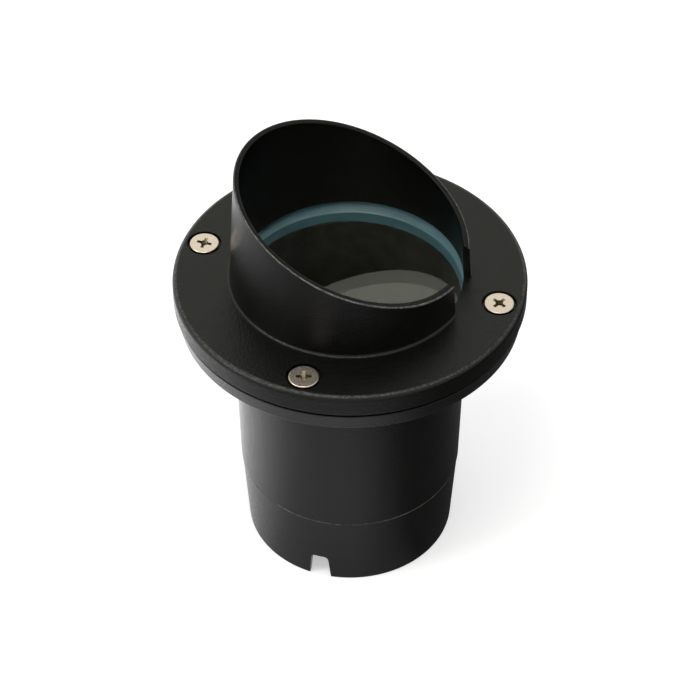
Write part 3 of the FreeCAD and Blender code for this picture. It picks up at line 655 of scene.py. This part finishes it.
# Where the lighter tone goes and how far, each limit between an edge's arc and the support points beside it:
# coat rubbed thin and painted highlight on the edges, painted highlight alone in the groove
RIM_WEAR_AND_HIGHLIGHT, RIM_WEAR_AND_HIGHLIGHT_DROP, RIM_WEAR_AND_HIGHLIGHT_WIDTH = 1.0, 0.35, 0.4
RING_WEAR_AND_HIGHLIGHT, RING_WEAR_AND_HIGHLIGHT_FROM, RING_WEAR_AND_HIGHLIGHT_TO = 0.35, 0.04, 0.3
FLANGE_WEAR_AND_HIGHLIGHT, FLANGE_WEAR_AND_HIGHLIGHT_WIDTH, FLANGE_WEAR_AND_HIGHLIGHT_RISE = 0.6, 2.1, 0.4
GROOVE_HIGHLIGHT, GROOVE_HIGHLIGHT_RISE, GROOVE_HIGHLIGHT_DROP = 0.5, 0.05, POT_GROOVE_WIDTH / 2 + 0.01


def mark_wear_and_highlight(obj, wear_at):
    """Marks at each point how much lighter tone the coat's material gets, for coat rubbed thin by handling
    and for painted highlight.
    """
    wear_and_highlight = obj.data.attributes.new("wear_and_highlight", "FLOAT", "POINT")
    for vertex, mark in zip(obj.data.vertices, wear_and_highlight.data):
        x, y, z = vertex.co / MM
        mark.value = wear_at(x, math.hypot(x, y), z)


def cover_wear_and_highlight(x, radius, z):
    """Rubbed coat and painted highlight on the outer edge of the hood's rim, and less where the face ring
    rounds over.
    """
    below_rim = HOOD_CUT_Z - HOOD_CUT_SLOPE * x - z
    wall_r = HOOD_BASE_R - HOOD_DRAFT * (z - COVER_TOP_Z)
    if below_rim < RIM_WEAR_AND_HIGHLIGHT_DROP and radius > wall_r - RIM_WEAR_AND_HIGHLIGHT_WIDTH:
        return RIM_WEAR_AND_HIGHLIGHT
    on_ring = radius > FLANGE_R - COVER_EDGE_R and RING_WEAR_AND_HIGHLIGHT_FROM < COVER_TOP_Z - z < RING_WEAR_AND_HIGHLIGHT_TO
    return RING_WEAR_AND_HIGHLIGHT if on_ring else 0.0


def pot_wear_and_highlight(x, radius, z):
    """Rubbed coat and painted highlight on the lower edge of the flange, and a weaker painted highlight on
    the groove's lower face.
    """
    if radius > FLANGE_R - FLANGE_WEAR_AND_HIGHLIGHT_WIDTH and z < FLANGE_UNDERSIDE_Z + FLANGE_WEAR_AND_HIGHLIGHT_RISE:
        return FLANGE_WEAR_AND_HIGHLIGHT
    # A painted highlight on the groove's lower face
    on_groove = z < POT_GROOVE_Z + GROOVE_HIGHLIGHT_RISE and POT_GROOVE_Z - z < GROOVE_HIGHLIGHT_DROP
    return GROOVE_HIGHLIGHT if on_groove and radius > SKIRT_BOTTOM_R else 0.0


def line_bore(casting, material, eye_z, low_z, high_z):
    """Gives the inside of a casting its own copy of the coat: painted shade in the hood, painted light in the
    pot.

    The inside is those faces between two heights that are turned towards the axis's point at eye_z.
    """
    casting.data.materials.append(material)
    eye = Vector((0, 0, eye_z))
    bore_r = HOOD_BORE_R + 0.2
    for polygon in casting.data.polygons:
        centre = polygon.center / MM
        inside = low_z < centre.z < high_z and centre.xy.length < bore_r
        if inside and polygon.normal.dot(centre - eye) < 0:
            polygon.material_index = 1


def to_screw_circle(obj, quarter):
    """Moves an object's mesh from the axis to one of the four screws, and gives the turn it makes."""
    turn = Matrix.Rotation(math.radians(90 * quarter), 4, "Z")
    place(obj, turn @ Matrix.Translation(Vector((SCREW_CIRCLE_R, 0, 0)) * MM))
    return turn


def four_round(make):
    """Four objects from make(), a quarter turn apart on the screw circle."""
    made = []
    for quarter in range(4):
        obj = make()
        to_screw_circle(obj, quarter)
        made.append(obj)
    return made


def make_cover():
    """Face ring and hood with the drain slot and four screw pockets."""
    cover = add("face_and_hood", revolved_mesh("face_and_hood", cover_section, CASTING_SEGMENTS))
    half = DRAIN_SLOT_WIDTH / 2
    slot = extruded("slot", [
        (DRAIN_SLOT_FROM_R, -half, COVER_TOP_Z),
        (DRAIN_SLOT_TO_R, -half, COVER_TOP_Z),
        (DRAIN_SLOT_TO_R, half, COVER_TOP_Z),
        (DRAIN_SLOT_FROM_R, half, COVER_TOP_Z),
    ], (0, 0, DRAIN_SLOT_HEIGHT))
    cut(cover, [slot] + four_round(screw_pocket))
    soften(cover)
    mark_wear_and_highlight(cover, cover_wear_and_highlight)
    finish_piece(cover, COAT, "cover", "powder_coat", "hood_cover")
    line_bore(cover, HOOD_BORE_SHADED_COAT, COVER_TOP_Z, COVER_TOP_Z, cover_high.z)


def make_pot():
    """Pot casting with the flange holes and the cable notch."""
    ceiling_z = FLOOR_Z - FLOOR_THICKNESS
    pot = turned("pot", [
        (SKIRT_BORE_R, 0, SMALL_EDGE_R),
        (SKIRT_BOTTOM_R, 0, EDGE_R),
        (SKIRT_TOP_R, POT_GROOVE_Z - POT_GROOVE_WIDTH / 2, 0),
        (POT_GROOVE_R, POT_GROOVE_Z, 0),
        (POT_STEP_R, POT_GROOVE_Z + POT_GROOVE_WIDTH / 2, 0),
        (POT_TOP_R, FLANGE_UNDERSIDE_Z, FLANGE_FILLET_R),
        (FLANGE_UNDERSIDE_R, FLANGE_UNDERSIDE_Z, EDGE_R),
        (FLANGE_TOP_R, FLANGE_TOP_Z, FINE_EDGE_R),
        (GASKET_RECESS_R, FLANGE_TOP_Z, SMALL_EDGE_R),
        (GASKET_RECESS_R, gasket_low.z, 0),
        (BORE_TOP_R, gasket_low.z, EDGE_R),
        (BORE_FLOOR_R, FLOOR_Z, BORE_FILLET_R),
        (NIPPLE_R, FLOOR_Z, 0),
        (NIPPLE_R, ceiling_z, 0),
        (SKIRT_BORE_TOP_R, ceiling_z, SKIRT_BORE_FILLET_R),
    ], CASTING_SEGMENTS)
    notch_outline = outline([
        (-NOTCH_BOTTOM_WIDTH / 2, NOTCH_BOTTOM_Z, 0),
        (NOTCH_BOTTOM_WIDTH / 2, NOTCH_BOTTOM_Z, 0),
        (NOTCH_TOP_WIDTH / 2, NOTCH_HEIGHT, NOTCH_CORNER_R),
        (-NOTCH_TOP_WIDTH / 2, NOTCH_HEIGHT, NOTCH_CORNER_R),
    ])
    notch = extruded("notch", [(p.x, NOTCH_FROM_Y, p.y) for p in notch_outline], (0, NOTCH_REACH, 0))
    hole_r = SCREW_R + THREAD_CLEARANCE
    low_z, high_z = FLANGE_UNDERSIDE_Z - CUTTER_REACH, FLANGE_TOP_Z + CUTTER_REACH

    def tapped_hole():
        section = [(0, low_z, 0), (hole_r, low_z, 0), (hole_r, high_z, 0), (0, high_z, 0)]
        return turned("hole", section, HOLE_SEGMENTS)

    cut(pot, [notch] + four_round(tapped_hole))
    soften(pot)
    mark_wear_and_highlight(pot, pot_wear_and_highlight)
    finish_piece(pot, COAT, "housing", "powder_coat", "housing_body")
    line_bore(pot, POT_BORE_LIT_COAT, burner_high.z, FLOOR_Z - 0.1, gasket_low.z)


def make_gasket():
    """Silicone ring of L section. Its seat is wetted to the glass, so it reaches a hair into it."""
    seat_z = glass_low.z + WETTING
    gasket = turned("silicone_gasket", [
        (GASKET_BORE_R, gasket_low.z, SMALL_EDGE_R),
        (GASKET_R, gasket_low.z, EDGE_R),
        (GASKET_R, gasket_high.z, EDGE_R),
        (GLASS_R - WETTING, gasket_high.z, 0),
        (GLASS_R - WETTING, seat_z, 0),
        (GASKET_SEAT_R, seat_z, 0),
        (GASKET_LIP_R, GASKET_LIP_Z, EDGE_R),
    ], CASTING_SEGMENTS)
    soften(gasket)
    finish_piece(gasket, SILICONE, "housing", "silicone", "lens_gasket")


# ------------------------------------------------------------------ cover screws


def cross_cutter(top_z, turn_degrees):
    """Cutter for a cross recess: two tapering wings and a pointed core."""
    half, over = RECESS_WIDTH / 2, 0.5
    high_z, low_z = top_z + over, top_z - RECESS_DEPTH
    foot = RECESS_REACH * RECESS_FOOT
    profile = [(-RECESS_REACH, high_z), (RECESS_REACH, high_z), (RECESS_REACH, top_z),
               (foot, low_z), (-foot, low_z), (-RECESS_REACH, top_z)]
    wings = []
    for quarter in (0, 90):
        wing = extruded("wing", [(x, -half, z) for x, z in profile], (0, RECESS_WIDTH, 0))
        place(wing, Matrix.Rotation(math.radians(quarter + turn_degrees), 4, "Z"))
        wings.append(wing)
    core = turned("core", [(0, low_z - over, 0), (RECESS_TIP_R, low_z + 0.2, 0),
                           (RECESS_CORE_R, high_z, 0), (0, high_z, 0)], RECESS_SEGMENTS)
    return wings + [core]


def threaded_shank(top_z, bottom_z):
    """Screw shank with a helical thread, its last millimetre tapered."""
    rows = int((top_z - bottom_z) / (THREAD_PITCH / THREAD_ROWS))
    mesh = bpy.data.meshes.new("shank")
    shape = bmesh.new()
    grid = []
    for row in range(rows + 1):
        z = top_z - (top_z - bottom_z) * row / rows
        width = 1 - THREAD_TAPER + THREAD_TAPER * min(1.0, z - bottom_z)
        ring = []
        for step in range(THREAD_SEGMENTS):
            phase = (z / THREAD_PITCH + step / THREAD_SEGMENTS) % 1.0
            ridge = 1 - abs(2 * phase - 1)
            radius = (SCREW_R - THREAD_DEPTH + THREAD_DEPTH * ridge) * width
            azimuth = 2 * math.pi * step / THREAD_SEGMENTS
            spot = Vector((radius * math.cos(azimuth), radius * math.sin(azimuth), z))
            ring.append(shape.verts.new(spot * MM))
        grid.append(ring)
    for upper, lower in zip(grid, grid[1:]):
        for step in range(THREAD_SEGMENTS):
            around = (step + 1) % THREAD_SEGMENTS
            shape.faces.new((upper[step], lower[step], lower[around], upper[around]))
    shape.faces.new(grid[0][::-1])
    shape.faces.new(grid[-1])
    face_out(shape)
    shape.to_mesh(mesh)
    shape.free()
    return add("shank", mesh)


def darken_recess(screw, crown):
    """Gives the walls of the recess under the middle of the crown a darker, browner steel."""
    screw.data.materials.append(RECESS)
    deepest, highest = -RECESS_DEPTH * 1.3 * MM, -0.02 * MM
    for polygon in screw.data.polygons:
        offset = polygon.center - crown
        if deepest < offset.z < highest and offset.xy.length < RECESS_REACH * MM:
            polygon.material_index = 1


def make_cover_screws():
    """Countersunk cross-recess screws, each left at its own angle as a driver leaves it."""
    top_z = screw_high.z
    cone_z = top_z - SCREW_HEAD_EDGE - (SCREW_HEAD_R - SCREW_R)
    for quarter, turn_degrees in enumerate(SCREW_ANGLES):
        head = turned("head", [
            (0, top_z, 0),
            (SCREW_HEAD_R, top_z, SCREW_CROWN_R),
            (SCREW_HEAD_R, top_z - SCREW_HEAD_EDGE - 0.1, 0),
            (SCREW_R, cone_z, 0),
            (0, cone_z, 0),
        ], HEAD_SEGMENTS)
        cut(head, cross_cutter(top_z, turn_degrees))
        shank = threaded_shank(cone_z + 0.05, screw_low.z)
        screw = joined("cover_screw_" + str(quarter), [head, shank])
        turn = to_screw_circle(screw, quarter)
        soften(screw, degrees=35)
        finish_piece(screw, STAINLESS, "cover", "stainless", "cover_screws")
        darken_recess(screw, turn.to_3x3() @ Vector((SCREW_CIRCLE_R, 0, top_z)) * MM)


# ------------------------------------------------------------------ lamp


def arc_spokes(first, middle, last, steps):
    """Points along the arc through three section points, each with the unit vector away from its centre."""
    chord_a, chord_b = middle - first, last - first
    cross = 2 * chord_a.cross(chord_b)
    square_a, square_b = chord_a.length_squared, chord_b.length_squared
    centre = first + Vector((chord_b.y * square_a - chord_a.y * square_b,
                             chord_a.x * square_b - chord_b.x * square_a)) / cross
    spoke = first - centre
    sweep = spoke.angle_signed(last - centre)
    spokes = []
    for step in range(steps + 1):
        turned_spoke = spoke.copy()
        turned_spoke.rotate(Matrix.Rotation(-sweep * step / steps, 2))
        spokes.append((centre + turned_spoke, turned_spoke.normalized()))
    return spokes


def dish_section(azimuth):
    """Section of the lamp's dish at an azimuth. Its inner wall is dimpled into rows of facets."""
    rim_z, seat_z = rim_high.z - RIM_HEIGHT, rim_high.z - LAMP_GLASS_SEAT
    throat_z = rim_low.z + THROAT_RISE
    outer = arc_spokes(Vector((DISH_TOP_R, rim_z)), Vector((DISH_WAIST_R, rim_z - DISH_WAIST_DROP)),
                       Vector((THROAT_R, throat_z)), DISH_STEPS)
    inner = arc_spokes(Vector((THROAT_BORE_R, throat_z + THROAT_LENGTH)),
                       Vector((DISH_BORE_WAIST_R, rim_z - DISH_BORE_WAIST_DROP)),
                       Vector((DISH_BORE_TOP_R, seat_z)), FACET_ROWS * FACET_STEPS)
    points = [point for point, _ in outer]
    points.append(Vector((THROAT_BORE_R, throat_z)))
    for step, (point, away) in enumerate(inner):
        row, along = divmod(step, FACET_STEPS)
        across = azimuth * FACETS_ROUND / (2 * math.pi) + 0.5 * (row % 2)
        dimple = math.sin(math.pi * along / FACET_STEPS) * abs(math.sin(math.pi * across))
        points.append(point + away * FACET_DEPTH * dimple)
    return points + outline([
        (rim_high.x - RIM_WALL, seat_z, 0),
        (rim_high.x - RIM_WALL, rim_high.z, RIM_EDGE_R),
        (rim_high.x, rim_high.z, SMALL_EDGE_R),
        (rim_high.x, rim_z, RIM_EDGE_R),
    ])


def make_reflector():
    """Pressed glass dish with a faceted mirror coat inside, on its flat-sided neck."""
    dish = add("dish", revolved_mesh("dish", dish_section, FACETS_ROUND * FACET_SEGMENTS))
    soften(dish, degrees=9)
    half_x, half_y = NECK_WIDTH / 2, NECK_DEPTH / 2
    neck_outline = outline([
        (-half_x, -half_y, NECK_CORNER_R),
        (half_x, -half_y, NECK_CORNER_R),
        (half_x, half_y, NECK_CORNER_R),
        (-half_x, half_y, NECK_CORNER_R),
    ])
    neck = extruded("neck", [(p.x, p.y, rim_low.z) for p in neck_outline], (0, 0, NECK_HEIGHT))
    bore_top_z = burner_low.z + BURNER_BORE_HEIGHT
    bore = turned("bore", [(0, burner_low.z, 0), (BURNER_BORE_R, burner_low.z, 0),
                           (BURNER_BORE_R, bore_top_z, 0), (0, bore_top_z, 0)], NECK_BORE_SEGMENTS)
    cut(neck, [bore])
    soften(neck)
    reflector = joined("reflector", [dish, neck])
    finish_piece(reflector, LAMP_BACK, "lamp_head", "reflector", "lamp_reflector")
    reflector.data.materials.append(MIRROR)
    mirror_low, mirror_high = rim_low.z + THROAT_RISE + THROAT_LENGTH, rim_high.z - LAMP_GLASS_SEAT
    for polygon in reflector.data.polygons:
        centre = polygon.center / MM
        faces_in = polygon.normal.xy.dot(centre.xy) < 0
        if faces_in and mirror_low < centre.z < mirror_high and centre.xy.length > THROAT_BORE_R:
            polygon.material_index = 1


def make_burner():
    """Quartz capsule with a pinched foot, and the coiled filament on its two supports."""
    foot_z, top_z = burner_low.z, burner_high.z
    radius = burner_high.x
    capsule = turned("capsule", [
        (0, foot_z, 0),
        (radius, foot_z, SMALL_EDGE_R),
        (radius, top_z, BURNER_CROWN_R),
        (0, top_z, 0),
        (0, top_z - BURNER_WALL, 0),
        (radius - BURNER_WALL, top_z - BURNER_WALL, BURNER_BORE_CROWN_R),
        (radius - BURNER_WALL, foot_z + BURNER_FOOT, BURNER_BORE_FOOT_R),
        (0, foot_z + BURNER_FOOT, 0),
    ], BURNER_SEGMENTS)
    soften(capsule)
    finish_piece(capsule, LAMP_GLASS, "lamp_head", "lamp_glass", "lamp_capsule")
    coil_z, post_z = foot_z + COIL_RISE, foot_z + COIL_POST_RISE
    steps = COIL_TURNS * COIL_STEPS
    coil = []
    for step in range(steps + 1):
        phase = 2 * math.pi * step / COIL_STEPS
        along = (step / steps - 0.5) * COIL_LENGTH
        coil.append((along, COIL_R * math.cos(phase), coil_z + COIL_R * math.sin(phase)))
    route = [(-COIL_LENGTH / 2, COIL_R, post_z)] + coil + [(COIL_LENGTH / 2, COIL_R, post_z)]
    filament = wire("filament", route, COIL_WIRE_R)
    finish_piece(filament, TUNGSTEN, "lamp_head", "zinc_steel")


def wire(name, points, radius, smooth=False):
    """Round wire along points in millimetres, as a mesh."""
    curve = bpy.data.curves.new(name, "CURVE")
    curve.dimensions = "3D"
    curve.bevel_depth = radius * MM
    curve.bevel_resolution = 3
    curve.use_fill_caps = True
    spline = curve.splines.new("NURBS" if smooth else "POLY")
    spline.points.add(len(points) - 1)
    for point, place_mm in zip(spline.points, points):
        point.co = (*(Vector(place_mm) * MM), 1)
    if smooth:
        spline.order_u = 3
        spline.use_endpoint_u = True
        spline.resolution_u = 10
    path = add(name, curve)
    bpy.context.view_layer.update()
    mesh = bpy.data.meshes.new_from_object(path.evaluated_get(bpy.context.evaluated_depsgraph_get()))
    bpy.data.objects.remove(path)
    made = add(name, mesh)
    made.data.shade_smooth()
    return made


def make_leads():
    """Two sleeved leads from the socket's side up, over and down into the terminal block.

    They bend between the lamp and the bracket as the lamp tilts.
    """
    drop_y = BLOCK_Y + BLOCK_ENTRY_Y
    exit_y = socket_low.y
    rise_y = (exit_y + drop_y) / 2 + 2.5
    crest_z = leads_high.z
    # (y, z) of the control points, which the curve doesn't quite reach
    side_route = [
        (exit_y + 1.8, LEAD_EXIT_Z),
        (exit_y - 1.5, LEAD_EXIT_Z),
        (rise_y, LEAD_EXIT_Z + 1.0),
        (rise_y - 1.0, crest_z - 5.0),
        (rise_y - 2.2, crest_z - 1.2),
        ((rise_y + drop_y) / 2 - 1.4, crest_z + 0.4),
        (drop_y, crest_z - 2.2),
        (drop_y, block_high.z + 2.0),
        (drop_y, block_high.z - 3.6),
    ]
    for name, x in (("lead_left", -LEAD_X), ("lead_right", LEAD_X)):
        lead = wire(name, [(x, y, z) for y, z in side_route], LEAD_R, smooth=True)
        finish_piece(lead, SLEEVE, None, "lead_sleeve", "socket_leads")
        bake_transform(lead)


def make_cad_materials():
    """Better materials for the CAD nodes that stay."""
    for name, material in CAD_MATERIALS.items():
        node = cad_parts[name]
        node.data.materials.clear()
        node.data.materials.append(material)


# ------------------------------------------------------------------ stage, light and camera

# Camera, in metres and degrees with its lens and sensor in millimetres, and the picture's directions on
# the floor
CAMERA_AZIMUTH = -73.2
CAMERA_ELEVATION = 44.19
CAMERA_DISTANCE = 0.9111
CAMERA_LENS = 134.95
SENSOR_WIDTH = 36.0
CLIP_START = 0.01
CAMERA_TARGET_Z = 0.0781
MIDDLE = Vector((0, 0, CAMERA_TARGET_Z))
PICTURE_RIGHT = (math.cos(math.radians(CAMERA_AZIMUTH + 90)), math.sin(math.radians(CAMERA_AZIMUTH + 90)), 0)
PICTURE_NEAR = (math.cos(math.radians(CAMERA_AZIMUTH)), math.sin(math.radians(CAMERA_AZIMUTH)), 0)

# Soft boxes: name, degrees round from the camera, elevation, side in metres, radiance
SOFT_BOXES = [("key", -68, 34, 0.30, 7.0), ("overhead", -20, 70, 0.22, 8.0)]
SOFT_BOX_DISTANCE = 0.75
LIGHT_COLOUR = (1.0, 0.98, 0.94)

# Floor: its white, and how much light of its own a camera and the glass see in it
FLOOR_HALF = 6.0
FLOOR_WHITE = (0.80, 0.80, 0.80, 1)
FLOOR_LIFT = 0.45

# What gloss sees of the floor, which glows for glossy rays as a painted reflection: the level at (degrees
# round the object, 0 at the camera and 90 on the picture's right), times the share at (metres from the
# object's axis), whose dip near the foot is painted shade
SHEEN_STRENGTH = 1.8
SHEEN_TURNS = [(-180, 1.00), (-152, 1.80), (-137, 1.80), (-124, 1.70), (-117, 1.65), (-79, 1.35), (-45, 0.83),
               (-10, 0.92), (5, 0.90), (25, 0.48), (45, 0.12), (80, 0.08), (130, 0.10), (180, 1.00)]
SHEEN_FALLOFF = [(0.035, 0.55), (0.080, 1.00), (0.110, 1.00), (0.175, 0.60), (0.300, 0.50), (0.600, 1.00)]

# Sky: its level for diffuse rays, and for glossy rays its tint and a dim patch, with the patch's
# direction, reach in degrees and level
WORLD_FILL = 0.75
SKY_IN_GLOSS = (0.995, 1.0, 0.90)
DIM_PATCH = (0.333, 0.686, 0.647)
DIM_REACH = 27
DIM_LEVEL = 0.15


def make_floor():
    """Plain white floor that keeps the object's shadow.

    For glossy rays it glows instead, as a painted reflection: bright on the picture's left, dim on the right,
    and dimmer near the object's foot as painted shade.
    """
    mesh = bpy.data.meshes.new("floor")
    corners = [(-FLOOR_HALF, -FLOOR_HALF, 0), (FLOOR_HALF, -FLOOR_HALF, 0),
               (FLOOR_HALF, FLOOR_HALF, 0), (-FLOOR_HALF, FLOOR_HALF, 0)]
    mesh.from_pydata(corners, [], [(0, 1, 2, 3)])
    floor = add("floor", mesh)
    shader = Shader("floor")
    shader.set(Base_Color=FLOOR_WHITE, Roughness=0.9, Specular_IOR_Level=0.1)
    rays = shader.add("ShaderNodeLightPath")
    white = shader.add("ShaderNodeMath", operation="MAXIMUM")
    shader.link(rays.outputs["Is Camera Ray"], white.inputs[0])
    shader.link(rays.outputs["Is Transmission Ray"], white.inputs[1])
    lift = shader.add("ShaderNodeEmission")
    shader.link(shader.span(white.outputs[0], 0, 1, 0, FLOOR_LIFT), lift.inputs["Strength"])
    lifted = shader.add("ShaderNodeAddShader")
    shader.link(shader.surface.outputs[0], lifted.inputs[0])
    shader.link(lift.outputs[0], lifted.inputs[1])
    turn = shader.add("ShaderNodeMath", operation="ARCTAN2")
    for direction, socket in ((PICTURE_RIGHT, turn.inputs[0]), (PICTURE_NEAR, turn.inputs[1])):
        along = shader.add("ShaderNodeVectorMath", operation="DOT_PRODUCT")
        shader.link(shader.coordinates, along.inputs[0])
        along.inputs[1].default_value = direction
        shader.link(along.outputs["Value"], socket)
    around = shader.span(turn.outputs[0], -math.pi, math.pi, 0, 1)
    levels = [((angle + 180) / 360, (level / SHEEN_STRENGTH,) * 3) for angle, level in SHEEN_TURNS]
    distance = shader.add("ShaderNodeVectorMath", operation="LENGTH")
    shader.link(shader.coordinates, distance.inputs[0])
    reach = SHEEN_FALLOFF[-1][0]
    falloff = [(at / reach, (level,) * 3) for at, level in SHEEN_FALLOFF]
    share = shader.ramp(shader.span(distance.outputs["Value"], 0, reach, 0, 1), falloff)
    strength = shader.add("ShaderNodeMath", operation="MULTIPLY")
    shader.link(share, strength.inputs[0])
    strength.inputs[1].default_value = SHEEN_STRENGTH
    # The floor's glow for glossy rays: a painted reflection on the object
    sheen = shader.add("ShaderNodeEmission")
    shader.link(shader.ramp(around, levels), sheen.inputs["Color"])
    shader.link(strength.outputs[0], sheen.inputs["Strength"])
    seen = shader.add("ShaderNodeMixShader")
    shader.link(rays.outputs["Is Glossy Ray"], seen.inputs[0])
    shader.link(lifted.outputs[0], seen.inputs[1])
    shader.link(sheen.outputs[0], seen.inputs[2])
    shader.link(seen.outputs[0], shader.tree.nodes["Material Output"].inputs["Surface"])
    floor.data.materials.append(shader.material)


def make_world():
    """Plain white studio. Gloss sees it faintly warm, with a dim patch behind the object on the right."""
    world = bpy.data.worlds.new("studio")
    bpy.context.scene.world = world
    world.use_nodes = True
    nodes, links = world.node_tree.nodes, world.node_tree.links
    background = nodes["Background"]
    coordinates = nodes.new("ShaderNodeTexCoord")
    toward = nodes.new("ShaderNodeVectorMath")
    toward.operation = "DOT_PRODUCT"
    toward.inputs[1].default_value = DIM_PATCH
    links.new(coordinates.outputs["Generated"], toward.inputs[0])
    patch = nodes.new("ShaderNodeMapRange")
    patch.interpolation_type = "SMOOTHSTEP"
    edge = math.cos(math.radians(DIM_REACH))
    for socket, value in zip(patch.inputs[1:5], (edge, 1, 0, 1 - DIM_LEVEL)):
        socket.default_value = value
    links.new(toward.outputs["Value"], patch.inputs[0])
    rays = nodes.new("ShaderNodeLightPath")
    tint = nodes.new("ShaderNodeMix")
    tint.data_type = "RGBA"
    tint.inputs[MIX_A].default_value = (1, 1, 1, 1)
    tint.inputs[MIX_B].default_value = (*SKY_IN_GLOSS, 1)
    links.new(rays.outputs["Is Glossy Ray"], tint.inputs["Factor"])
    links.new(tint.outputs[MIX_RESULT], background.inputs["Color"])
    seen = nodes.new("ShaderNodeMath")
    seen.operation = "MULTIPLY"
    links.new(rays.outputs["Is Glossy Ray"], seen.inputs[0])
    links.new(patch.outputs[0], seen.inputs[1])
    level = nodes.new("ShaderNodeMath")
    level.operation = "SUBTRACT"
    shade = nodes.new("ShaderNodeMapRange")
    shade.inputs["To Min"].default_value = 1.0
    shade.inputs["To Max"].default_value = WORLD_FILL
    links.new(rays.outputs["Is Diffuse Ray"], shade.inputs["Value"])
    links.new(shade.outputs[0], level.inputs[0])
    links.new(seen.outputs[0], level.inputs[1])
    links.new(level.outputs[0], background.inputs["Strength"])


def around_object(azimuth, elevation, distance):
    """A point at an azimuth, elevation and distance from the middle of the object."""
    azimuth, elevation = math.radians(azimuth), math.radians(elevation)
    flat = math.cos(elevation) * distance
    height = CAMERA_TARGET_Z + distance * math.sin(elevation)
    return Vector((flat * math.cos(azimuth), flat * math.sin(azimuth), height))


def aim(obj, position):
    """Puts a lamp or camera at a point, facing the middle of the object."""
    obj.location = position
    obj.rotation_euler = (MIDDLE - position).to_track_quat("-Z", "Y").to_euler()


def make_lights():
    """Square soft boxes: a key low on the picture's left, and one overhead in front."""
    for name, turn, elevation, side, radiance in SOFT_BOXES:
        light = bpy.data.lights.new(name, "AREA")
        light.shape = "SQUARE"
        light.size = side
        light.energy = radiance * math.pi * side * side
        light.color = LIGHT_COLOUR
        aim(add(name, light), around_object(CAMERA_AZIMUTH + turn, elevation, SOFT_BOX_DISTANCE))


def make_camera():
    """The photograph's camera."""
    data = bpy.data.cameras.new("camera")
    data.sensor_width = SENSOR_WIDTH
    data.lens = CAMERA_LENS
    data.clip_start = CLIP_START
    camera = add("camera", data)
    aim(camera, around_object(CAMERA_AZIMUTH, CAMERA_ELEVATION, CAMERA_DISTANCE))
    bpy.context.scene.camera = camera


make_cover()
make_pot()
make_gasket()
make_cover_screws()
make_cad_materials()
make_reflector()
make_burner()
make_leads()
make_floor()
make_world()
make_lights()
make_camera()
bpy.context.scene.view_settings.view_transform = "Standard"
